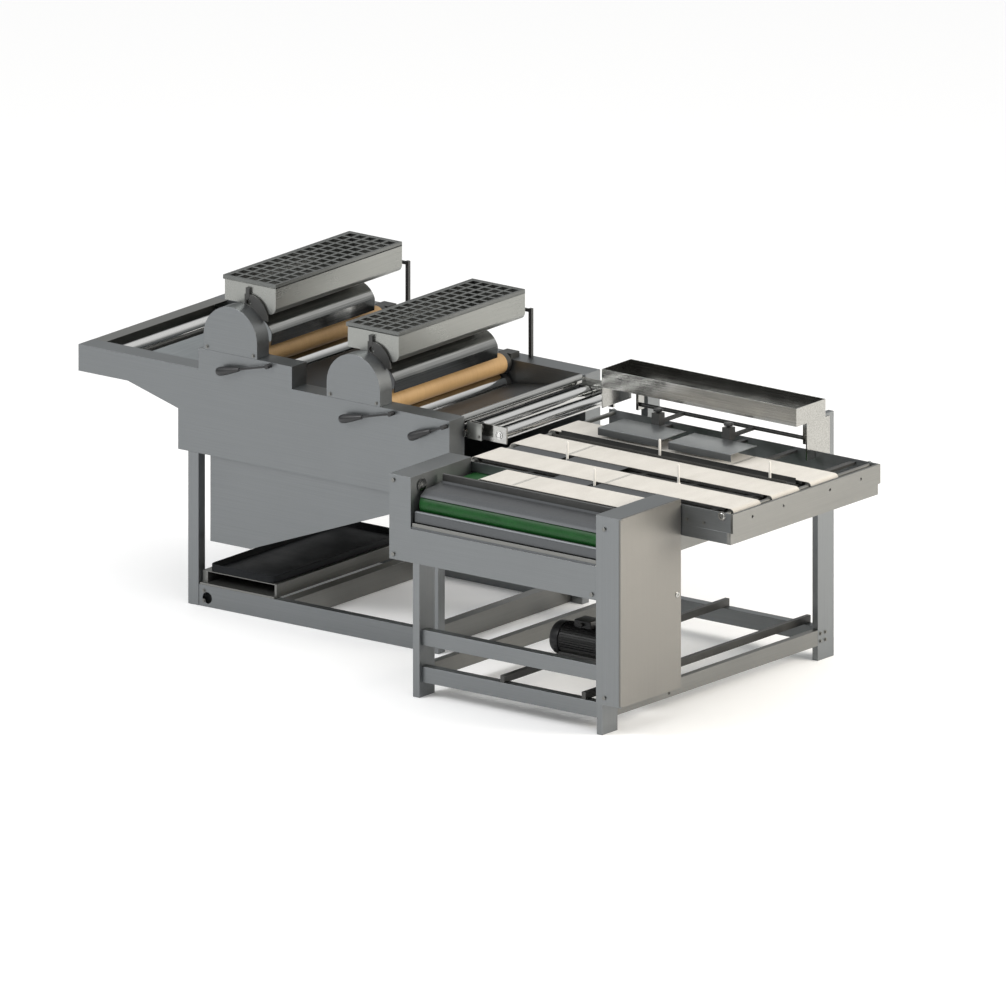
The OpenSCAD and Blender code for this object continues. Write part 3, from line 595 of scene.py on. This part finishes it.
def perforated_lid(number):
    """A ribbed lid over one hopper, in place of its CAD node."""
    node = f"grille_lid_{number}"
    low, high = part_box(node)
    middle = (low + high) / 2
    size = high - low
    bm = bmesh.new()
    bmesh.ops.create_grid(bm, x_segments=LID_CELLS[0], y_segments=LID_CELLS[1], size=0.5)
    bmesh.ops.scale(bm, verts=bm.verts, vec=(size.x - 2 * LID_BORDER, size.y - 2 * LID_BORDER, 1))
    cells = bm.faces[:]
    bmesh.ops.inset_individual(bm, faces=cells, thickness=RIB, depth=-RIB_DEPTH)
    bmesh.ops.delete(bm, geom=cells, context="FACES")
    bmesh.ops.solidify(bm, geom=bm.faces[:], thickness=RIB_SHEET)
    bmesh.ops.translate(bm, verts=bm.verts, vec=(middle.x, middle.y, high.z - RIB_DROP))
    half_x, half_y = size.x / 2 - LID_BORDER / 2, size.y / 2 - LID_BORDER / 2
    for centre, spans in (((-half_x, 0), (LID_BORDER, size.y)), ((half_x, 0), (LID_BORDER, size.y)),
                          ((0, -half_y), (size.x - 2 * LID_BORDER, LID_BORDER)),
                          ((0, half_y), (size.x - 2 * LID_BORDER, LID_BORDER))):
        bar = bmesh.ops.create_cube(bm, size=1)
        bmesh.ops.scale(bm, verts=bar["verts"], vec=(spans[0], spans[1], size.z))
        bmesh.ops.translate(bm, verts=bar["verts"],
                            vec=(middle.x + centre[0], middle.y + centre[1], middle.z))
    piece = add_piece(f"perforated_lid_{number}", mesh_from(bm, node + "_ribs"), f"lid_{number}",
                      [steel_lid])
    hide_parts(node)
    return piece


for number in (1, 2):
    print("lid faces:", len(perforated_lid(number).data.polygons))

# %% [markdown]
# ## Sheeting rollers
# The upper rollers wear a tan sleeve with a dark collar at the far end, and the lower ones are bare ground
# steel. Both carry a gear inside the near frame. The CAD copy is cut at the collar and each face gets its
# finish from how far it stands from the roller's axis and where it lies along it.

# %% Make the sheeting rollers
COLLAR = 0.026
GEAR_END = 0.060
JOURNAL = 0.020
FRAME_GAP = 0.006


def sheeting_roller(node, joint_name, face_material):
    """A roller copy with its own finish on the working face, the collar and the journals."""
    joint = next(j for j in frame["joints"] if j["name"] == joint_name)
    axis = Vector(joint["pos_m"])
    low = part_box(node)[0]
    face_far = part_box("far_side_panel")[0].y - FRAME_GAP
    bm = bmesh.new()
    bm.from_mesh(nodes[node].data)
    bmesh.ops.remove_doubles(bm, verts=bm.verts, dist=MERGE)
    bmesh.ops.dissolve_limit(bm, angle_limit=FLAT, verts=bm.verts, edges=bm.edges)
    bmesh.ops.bisect_plane(bm, geom=bm.verts[:] + bm.edges[:] + bm.faces[:], dist=0.00001,
                           plane_co=(0, face_far - COLLAR, 0), plane_no=(0, 1, 0))
    for face in bm.faces:
        middle = face.calc_center_median()
        out = math.hypot(middle.x - axis.x, middle.z - axis.z)
        on_face = low.y + GEAR_END < middle.y < face_far - COLLAR and out > JOURNAL
        face.material_index = 1 if on_face else 0
        if middle.y > face_far - COLLAR - 0.001 and out > JOURNAL and not on_face:
            face.material_index = 2
    mesh = bpy.data.meshes.new(node + "_turned")
    bm.to_mesh(mesh)
    bm.free()
    shade_by_angle(mesh, math.radians(30))
    piece = add_piece(node + "_turned", mesh, body_holding(node), [steel_across, face_material, dark_paint])
    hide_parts(node)
    return piece


for number in (1, 2):
    sheeting_roller(f"upper_roller_{number}", f"upper_roller_spin_{number}", tan_sleeve)
    sheeting_roller(f"lower_roller_{number}", f"lower_roller_spin_{number}", polish_roller)
print("sheeting rollers made")

# %% [markdown]
# ## Lever grips
# The black grips are moulded: thin at the neck, swelling to a round end that fills the hand. A sculpted
# box would need many edits. A half outline spun about its own long axis makes that shape in one go. The
# outline is laid along X first, and then turned to lie along its CAD grip.

# %% Make the lever grips
GRIP_OUTLINE = [(0.000, 0.0062), (0.006, 0.0088), (0.030, 0.0118), (0.056, 0.0152), (0.080, 0.0174),
                (0.096, 0.0174), (0.106, 0.0146), (0.1110, 0.0088), (0.112, 0.0)]
NECK_GAP = 0.001
NECK_INSET = 0.008


def lathe(bm, outline, steps=40):
    """Spins an outline of (along X, radius) points about the X axis into a closed skin."""
    row = [bm.verts.new((x, 0, r)) for x, r in outline]
    edges = [bm.edges.new(pair) for pair in zip(row, row[1:])]
    bmesh.ops.spin(bm, geom=row + edges, cent=(0, 0, 0), axis=(1, 0, 0), angle=math.tau, steps=steps,
                   use_merge=True)
    bmesh.ops.remove_doubles(bm, verts=bm.verts, dist=0.00003)
    bmesh.ops.recalc_face_normals(bm, faces=bm.faces)


def lever_grip(number, body, angle):
    """A moulded grip along the lever. The angle is measured from +X towards +Z."""
    node = f"lever_grip_{number}"
    low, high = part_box(node)
    bm = bmesh.new()
    lathe(bm, [(0, 0)] + GRIP_OUTLINE)
    bmesh.ops.rotate(bm, verts=bm.verts, cent=(0, 0, 0), matrix=Matrix.Rotation(-angle, 3, "Y"))
    reach = Vector((math.cos(angle), 0, math.sin(angle)))
    neck = Vector((high.x, (low.y + high.y) / 2, high.z)) + reach * NECK_GAP
    neck -= Vector((abs(math.sin(angle)), 0, abs(math.cos(angle)))) * NECK_INSET
    bmesh.ops.translate(bm, verts=bm.verts, vec=neck)
    piece = add_piece(f"moulded_grip_{number}", mesh_from(bm, node, math.radians(60)), body, [black_grip])
    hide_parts(node)
    return piece


for number, body, degrees in ((1, "gap_handle_1", 194), (2, "gap_handle_2", 194), (3, "deck_handle", 202)):
    lever_grip(number, body, math.radians(degrees))
print("grips made")

# %% [markdown]
# ## Crumb tray
# The tray is a black moulded pan with rounded corners and a rolled lip. A box is the right start: its
# upright corners are bevelled wide, its top is inset and sunk to make the pan, and the rim is softened.

# %% Make the crumb tray
def rounded_pan(name, low, high, corner, wall, floor_up, body, material, slot_name, node):
    """An open pan with rounded corners, in place of a CAD tray."""
    size = high - low
    bm = bmesh.new()
    made = bmesh.ops.create_cube(bm, size=1)
    bmesh.ops.scale(bm, verts=made["verts"], vec=size)
    bmesh.ops.translate(bm, verts=made["verts"], vec=(low + high) / 2)
    upright = [e for e in bm.edges if abs(e.verts[0].co.z - e.verts[1].co.z) > size.z * 0.9]
    bmesh.ops.bevel(bm, geom=upright, offset=corner, segments=8, affect="EDGES", profile=0.5,
                    clamp_overlap=True, material=-1)
    top = [f for f in bm.faces if f.normal.z > 0.9]
    bmesh.ops.inset_region(bm, faces=top, thickness=wall, depth=0, use_even_offset=True)
    bmesh.ops.inset_region(bm, faces=top, thickness=wall * 0.6, depth=-(size.z - floor_up),
                           use_even_offset=True)
    rim = [e for e in bm.edges if len(e.link_faces) == 2 and e.calc_face_angle(0) > SHARP
           and abs(e.verts[0].co.z - e.verts[1].co.z) < size.z * 0.5]
    bmesh.ops.bevel(bm, geom=rim, offset=wall * 0.35, segments=3, affect="EDGES", profile=0.5,
                    clamp_overlap=True, material=-1)
    piece = add_piece(name, mesh_from(bm, name, math.radians(50)), body, [material])
    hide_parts(node)
    return piece


rounded_pan("moulded_crumb_tray", *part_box("crumb_tray"), 0.030, 0.006, 0.006, "tray", black_tray,
            "black_plastic", "crumb_tray")
print("tray made")

# %% [markdown]
# ## Bent sheets at the belts
# A chute leads offcuts from the short strip belt out over the cross belt. Behind it stands a dark board, a
# painted shade: a dark sheet in the shaded gap under the first strip belt. A lip with a bent top stands in
# front of the belt, and a hem edges the mouth under it. Channel covers close the gaps between the strip
# belts, and two angle rails guard the belts' edges. The chute, lip, hem and covers take the darker steel,
# whose darkness is painted shade. All could be folded from strip steel, so each is one open outline across
# the machine, rounded at its bends, extruded along the machine and given its thickness last. Lengths here
# are machine millimetres, as on a drawing.

# %% Make the bent sheets
MACHINE_ORIGIN = Vector((1107, 195.5, 0))
BEND = 0.004
BEND_STEPS = 4
PLATE = 0.0015
COVER_SHEET = 0.0008
HEM_SHEET = 0.0006


def spot(x, y, z):
    """A place given in machine millimetres, turned into metres in the shared frame."""
    return (Vector((x, y, z)) - MACHINE_ORIGIN) / 1000


def bent_sheet(name, path, x_span, thickness, material, body="frame"):
    """A sheet bent along a path of (y, z) points and extruded along the machine."""
    bm = bmesh.new()
    row = [bm.verts.new(spot(x_span[0], y, z)) for y, z in path]
    for pair in zip(row, row[1:]):
        bm.edges.new(pair)
    bmesh.ops.bevel(bm, geom=row[1:-1], offset=BEND, segments=BEND_STEPS, affect="VERTICES",
                    profile=0.5, clamp_overlap=True, material=-1)
    made = bmesh.ops.extrude_edge_only(bm, edges=bm.edges[:])
    moved = [item for item in made["geom"] if isinstance(item, bmesh.types.BMVert)]
    bmesh.ops.translate(bm, verts=moved, vec=((x_span[1] - x_span[0]) / 1000, 0, 0))
    bmesh.ops.recalc_face_normals(bm, faces=bm.faces)
    bmesh.ops.solidify(bm, geom=bm.faces[:], thickness=thickness)
    return add_piece(name, mesh_from(bm, name, math.radians(40)), body, [material])


bent_sheet("offcut_chute", [(-373, 818), (-384, 811), (-478, 806), (-500, 793), (-510, 783)],
           (1506, 2364), PLATE, steel_painted_shade)
# The board is painted shade: a dark sheet in the shaded gap under the first strip belt.
bent_sheet("chute_painted_shade_board", [(-364, 846), (-369, 846), (-371, 812)], (1506, 2364), PLATE, dark_paint)
bent_sheet("tray_lip", [(-528, 686), (-528, 724), (-521, 732), (-514, 726)], (1494, 2370), PLATE,
           steel_painted_shade)
bent_sheet("mouth_hem", [(-541.6, 661.4), (-541.6, 670), (-539.8, 670)], (1489, 2372), HEM_SHEET,
           steel_painted_shade)

GAP_HALF = 31
COVER_FOOT, COVER_TOP = 832.2, 847.4
gap_spans = ((-148.5, (1880, 2052)), (-148.5, (2078, 2340)), (92.5, (1500, 1738)), (92.5, (1764, 2020)))
for number, (y, x_span) in enumerate(gap_spans, 1):
    bent_sheet(f"gap_cover_{number}", [(y - GAP_HALF, COVER_FOOT), (y - GAP_HALF, COVER_TOP),
                                       (y + GAP_HALF, COVER_TOP), (y + GAP_HALF, COVER_FOOT)],
               x_span, COVER_SHEET, steel_painted_shade)

RAIL_FOOT, RAIL_TOP = 832.4, 857
for number, (foot, y) in enumerate(((318, 304), (349, 363)), 1):
    bent_sheet(f"belt_edge_rail_{number}", [(foot, RAIL_FOOT), (y, RAIL_FOOT), (y, RAIL_TOP)],
               (1512, 2636), PLATE, dark_paint)
print("chute, lip, hem, gap covers and edge rails made")

# %% [markdown]
# ## Cover plates at the transfer rollers
# A plate closes each end of the transfer zone between the two units, so that fingers stay clear of the
# rollers' bearings. They are cut from flat plate, so their edges are only lightly broken: a box with a
# small bevel is the whole shape. Two bolts hold each.

# %% Make the transfer end plates
def soft_box(bm, low, high, radius, segments=3):
    """A box between two corners with rounded edges."""
    made = bmesh.ops.create_cube(bm, size=1)
    bmesh.ops.scale(bm, verts=made["verts"], vec=high - low)
    bmesh.ops.translate(bm, verts=made["verts"], vec=(low + high) / 2)
    edges = {edge for vert in made["verts"] for edge in vert.link_edges}
    bmesh.ops.bevel(bm, geom=list(edges), offset=radius, segments=segments, affect="EDGES", profile=0.5,
                    clamp_overlap=True, material=-1)


bm = bmesh.new()
soft_box(bm, spot(1264, 96, 842), spot(1334, 99, 908), 0.0008, 2)
soft_box(bm, spot(1264, 812, 850), spot(1400, 815, 928), 0.0008, 2)
add_piece("transfer_end_plates", mesh_from(bm, "transfer_end_plates"), "frame", [steel_bright])
bolt_group("transfer_end_bolts", [(spot(x, 96, 856), NEAR) for x in (1276, 1322)]
           + [(spot(x, 812, 915), NEAR) for x in (1276, 1388)], 0.004)
print("transfer end plates made")

# %% [markdown]
# ## Flange bearings
# A shaft that ends in view turns in a pressed flange bearing. Its shape is a lathe outline: a flat flange,
# a raised shoulder and a grease ring, with a bore a little wider than the shaft. The outline is given in
# shaft radii, so one outline serves every size. Hexagon bolts hold it.

# %% Make the flange bearings
BOLT_CIRCLE = 1.72
BOLT_SEAT = 0.3
BOLT_SIZE = 0.16
BEARING_OUTLINE = [(0.0, 1.9), (0.16, 2.0), (0.30, 1.96), (0.34, 1.45), (0.70, 1.36), (0.82, 1.24),
                   (0.82, 1.10), (0.70, 1.06), (0.0, 1.06)]


def turned_ring(bm, outline, centre, facing, steps=40):
    """Spins a closed (along, radius) outline about an axis through a centre."""
    others = set(bm.verts)
    row = [bm.verts.new((a, 0, r)) for a, r in outline]
    edges = [bm.edges.new((row[i - 1], row[i])) for i in range(len(row))]
    bmesh.ops.spin(bm, geom=row + edges, cent=(0, 0, 0), axis=(1, 0, 0), angle=math.tau, steps=steps,
                   use_merge=True)
    own = [vert for vert in bm.verts if vert not in others]
    turn = Vector(facing).to_track_quat("X", "Z").to_matrix().to_4x4()
    bmesh.ops.transform(bm, matrix=Matrix.Translation(Vector(centre)) @ turn, verts=own)


def flange_bearing(name, centre, facing, shaft, depth, bolts=4):
    """A flange bearing for a shaft radius, standing on the surface at its centre."""
    bm = bmesh.new()
    turned_ring(bm, [(a * depth, r * shaft) for a, r in BEARING_OUTLINE], centre, facing)
    piece = add_piece(name, mesh_from(bm, name), "frame", [polish_roller])
    side = Vector(facing).orthogonal().normalized()
    spots = []
    for i in range(bolts):
        turn = Matrix.Rotation(math.tau * (i + 0.5) / bolts, 3, Vector(facing))
        reach = turn @ side * shaft * BOLT_CIRCLE
        spots.append((Vector(centre) + reach + Vector(facing) * depth * BOLT_SEAT, facing))
    bolt_group(name + "_bolts", spots, shaft * BOLT_SIZE)
    return piece


FAR = (0, 1, 0)
INWARD = (-1, 0, 0)
flange_bearing("nose_bearing_near", spot(2687, -163, 830), NEAR, 0.009, 0.006)
flange_bearing("nose_bearing_far", spot(2687, 755, 830), FAR, 0.009, 0.006)
flange_bearing("drive_bearing_far", spot(1462, 755, 830), FAR, 0.009, 0.006)
flange_bearing("cross_bearing_left", spot(1486, -455, 748), OUT, 0.0135, 0.012)
for number, (x, z) in enumerate(((1300, 880), (1390, 866)), 1):
    flange_bearing(f"transfer_bearing_near_{number}", spot(x, 133, z), NEAR, 0.008, 0.006, 2)
    flange_bearing(f"transfer_bearing_far_{number}", spot(x, 807, z), FAR, 0.008, 0.006, 2)
print("bearings made")

# %% [markdown]
# ## Sprockets on the left post
# Two sprockets show end-on beside the cross belt, on the post's inner plate. They stand for its chain
# drive, and no chain is made. A toothed outline is extruded, which is far simpler than cutting teeth out of
# a disc, and a round hub with a hexagon nut stands in its middle.

# %% Make the sprockets
def sprocket(name, centre, radius, teeth, thickness):
    """A sprocket facing +X with a hub, standing on the post plate."""
    bm = bmesh.new()
    ring = []
    for i in range(teeth * 4):
        swell = (0.93, 1.0, 1.0, 0.93)[i % 4]
        angle = math.tau * (i + 0.5) / (teeth * 4)
        ring.append(bm.verts.new((0, math.cos(angle) * radius * swell, math.sin(angle) * radius * swell)))
    face = bm.faces.new(ring)
    made = bmesh.ops.extrude_face_region(bm, geom=[face])
    moved = [item for item in made["geom"] if isinstance(item, bmesh.types.BMVert)]
    bmesh.ops.translate(bm, verts=moved, vec=(thickness, 0, 0))
    bmesh.ops.translate(bm, verts=bm.verts, vec=Vector(centre) + Vector((0.004, 0, 0)))
    hub = Vector(centre)
    rod_between(bm, hub, hub + Vector((0.009, 0, 0)), radius * 0.42, 32)
    rod_between(bm, hub, hub + Vector((0.012, 0, 0)), radius * 0.2, 6)
    return add_piece(name, mesh_from(bm, name), "frame", [polish_across])


sprocket("chain_sprocket_top", spot(1486, -478, 822), 0.026, 15, 0.003)
sprocket("chain_sprocket_low", spot(1486, -500, 700), 0.020, 12, 0.003)
print("sprockets made")

# %% [markdown]
# ## Drive motor
# The motor under the table is taken to be a finned geared motor. Thin fins run along its cast body, a
# terminal box sits on top and a stepped cowl covers the fan. The fins are one thin bar turned round the
# body's axis, except underneath, and the cowl is a lathe outline. The CAD body stays in view between them.

# %% Make the motor's fins, cowl and terminal box
MOTOR = spot(1960, -210, 243)
MOTOR_RADIUS = 0.060
FIN_HEIGHT = 0.007
FIN_ROOT = 0.001
FIN_LENGTH = 0.185
FIN_SHEET = 0.0016
FIN_MIDDLE = 0.118
FIN_PLACES = 40
FOOT_SINE = -0.35

bm = bmesh.new()
for i in range(FIN_PLACES):
    angle = math.tau * i / FIN_PLACES
    if math.sin(angle) < FOOT_SINE:
        continue
    made = bmesh.ops.create_cube(bm, size=1)
    bmesh.ops.scale(bm, verts=made["verts"], vec=(FIN_LENGTH, FIN_SHEET, FIN_HEIGHT + FIN_ROOT))
    bmesh.ops.translate(bm, verts=made["verts"],
                        vec=(FIN_MIDDLE, 0, MOTOR_RADIUS + (FIN_HEIGHT - FIN_ROOT) / 2))
    bmesh.ops.rotate(bm, verts=made["verts"], cent=(0, 0, 0),
                     matrix=Matrix.Rotation(math.pi / 2 - angle, 3, "X"))
bmesh.ops.translate(bm, verts=bm.verts, vec=MOTOR)
add_piece("motor_fins", mesh_from(bm, "motor_fins"), "frame", [black_grip])
bm = bmesh.new()
turned_ring(bm, [(0.0, 0.0605), (0.0, 0.066), (0.030, 0.066), (0.040, 0.060), (0.040, 0.044),
                 (0.036, 0.044), (0.036, 0.030), (0.040, 0.030), (0.040, 0.014), (0.0005, 0.014)],
            MOTOR + Vector((0.0205, 0, 0)), INWARD)
soft_box(bm, spot(2040, -245, 302), spot(2120, -175, 334), 0.004)
rod_between(bm, spot(2080, -244, 318), spot(2080, -262, 318), 0.008, 20)
add_piece("motor_cowl_and_box", mesh_from(bm, "motor_cowl"), "frame", [black_grip])
print("motor details made")

# %% [markdown]
# ## Belt lacing
# Each strip belt is taken to be joined by a row of wire hooks, which lie across the belt in a shallow
# band. A row of short straight bars is enough at this size, and they are sunk into the belt so that only
# their backs show.

# %% Lace the strip belts
belt_low, belt_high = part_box("strip_belts")
STRIP_PITCH = 0.241
STRIP_WIDTH = 0.168
SEAM_PLACES = (0.72, 0.98, 0.62, 1.20)
HOOKS = 26
HOOK_HALF = 0.0075
HOOK_RADIUS = 0.0009
HOOK_SINK = 0.0002
BELT_MARGIN = 0.006

hook_z = belt_high.z - HOOK_SINK
hook_pitch = (STRIP_WIDTH - 2 * BELT_MARGIN) / (HOOKS - 1)
bm = bmesh.new()
for n, x in enumerate(SEAM_PLACES):
    near_edge = belt_low.y + n * STRIP_PITCH
    for k in range(HOOKS):
        y = near_edge + BELT_MARGIN + k * hook_pitch
        rod_between(bm, (x - HOOK_HALF, y, hook_z), (x + HOOK_HALF, y, hook_z), HOOK_RADIUS, 8)
add_piece("belt_lacing", mesh_from(bm, "belt_lacing"), "frame", [steel_across])
print("lacing hooks:", HOOKS * len(SEAM_PLACES))

# %% [markdown]
# ## Guide knobs and pins
# The side guides are locked by lobed knobs on their clamp blocks. The white pins between the belts are
# turned plastic: a collar, a straight stem and a domed top. Both are lathe outlines. The knob's points
# outside its shank are moved in and out round it for the lobes.

# %% Make the knobs and the pins
KNOB_OUTLINE = [(0.0, 0.0), (0.0, 0.008), (0.006, 0.008), (0.007, 0.017), (0.012, 0.019), (0.016, 0.0175),
                (0.018, 0.012), (0.0185, 0.0)]
KNOB_SHANK = 0.010
PIN_OUTLINE = [(0.0, 0.0), (0.0, 0.0085), (0.005, 0.0085), (0.0065, 0.0072), (0.0075, 0.0050),
               (0.074, 0.0048), (0.078, 0.0040), (0.0805, 0.0022), (0.081, 0.0)]


def standing_lathe(bm, outline, foot, lobes=0, depth=0.0):
    """A lathe shape that stands up from its foot, with optional lobes round it."""
    part = bmesh.new()
    lathe(part, outline, 48)
    for vert in part.verts:
        angle = math.atan2(vert.co.y, vert.co.z)
        out = math.hypot(vert.co.y, vert.co.z)
        if lobes and out > KNOB_SHANK:
            grow = 1 + depth * math.cos(lobes * angle)
            vert.co.y *= grow
            vert.co.z *= grow
    bmesh.ops.rotate(part, verts=part.verts, cent=(0, 0, 0), matrix=Matrix.Rotation(-math.pi / 2, 3, "Y"))
    bmesh.ops.translate(part, verts=part.verts, vec=foot)
    loose = bpy.data.meshes.new("lathe_part")
    part.to_mesh(loose)
    part.free()
    bm.from_mesh(loose)
    bpy.data.meshes.remove(loose)


bm = bmesh.new()
for x in (1816, 2154):
    standing_lathe(bm, KNOB_OUTLINE, spot(x, 570, 932), 6, 0.10)
add_piece("guide_knobs", mesh_from(bm, "guide_knobs", math.radians(60)), "guides", [black_grip])
bm = bmesh.new()
for x, y in ((2065, -150), (2284, 89), (2008, 331), (1751, 89), (2536, 331)):
    standing_lathe(bm, PIN_OUTLINE, spot(x, y, 832))
pins = add_piece("turned_pins", mesh_from(bm, "turned_pins", math.radians(60)), "frame", [white_pin])
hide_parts("guide_pins")
print("knobs and pins made")

# %% [markdown]
# ## Lid hinges, door latch and more bolts
# The lids turn in barrel hinges on the hoppers' upstream edges: round barrels with a leaf each, on one pin.
# The door is held by a quarter-turn latch, a low turned ring with a raised bar across its core. The last
# bolts sit on the near side plate and on the end of the low cross rail.

# %% Make the hinges, the latch and the bolts
LID_DROP = (0, 88)
HEAD_STEP = (0, 590)
HINGE_X, HINGE_Z = 113, 1285.2
LEAF = 40
BARREL_GAP = 0.5
for number in (1, 2):
    x = HINGE_X + HEAD_STEP[number - 1]
    z = HINGE_Z - LID_DROP[number - 1]
    bm = bmesh.new()
    for low_y, high_y in ((200, 260), (680, 740)):
        for start, stop in ((low_y - LEAF, low_y - BARREL_GAP), (high_y + BARREL_GAP, high_y + LEAF)):
            rod_between(bm, spot(x, start, z), spot(x, stop, z), 0.004, 28)
            soft_box(bm, spot(x, start, z + 0.8), spot(x + 8, stop, z + 3.2), 0.0003, 1)
        rod_between(bm, spot(x, low_y - LEAF - BARREL_GAP, z), spot(x, high_y + LEAF + BARREL_GAP, z),
                    0.002, 20)
    add_piece(f"lid_hinges_{number}", mesh_from(bm, "lid_hinges"), f"lid_{number}", [steel_across])
bm = bmesh.new()
turned_ring(bm, [(0.0, 0.004), (0.0, 0.012), (0.002, 0.012), (0.0035, 0.010), (0.0035, 0.0042)],
            spot(2493, -190, 494), OUT)
rod_between(bm, spot(2492, -190, 494), spot(2495, -190, 494), 0.0043, 24)
soft_box(bm, spot(2494.6, -193.2, 493), spot(2496.4, -186.8, 495), 0.0004, 2)
add_piece("door_latch", mesh_from(bm, "door_latch"), "door", [polish_across])
plate_spots = [(spot(x, -163, 790), NEAR) for x in (2520, 2600)]
brace_spots = [(spot(2402, y, z), OUT) for y in (-120, 820, 850) for z in (75, 105)]
bolt_group("table_bolts", plate_spots + brace_spots, 0.005)
print("hinges, latch and bolts made")
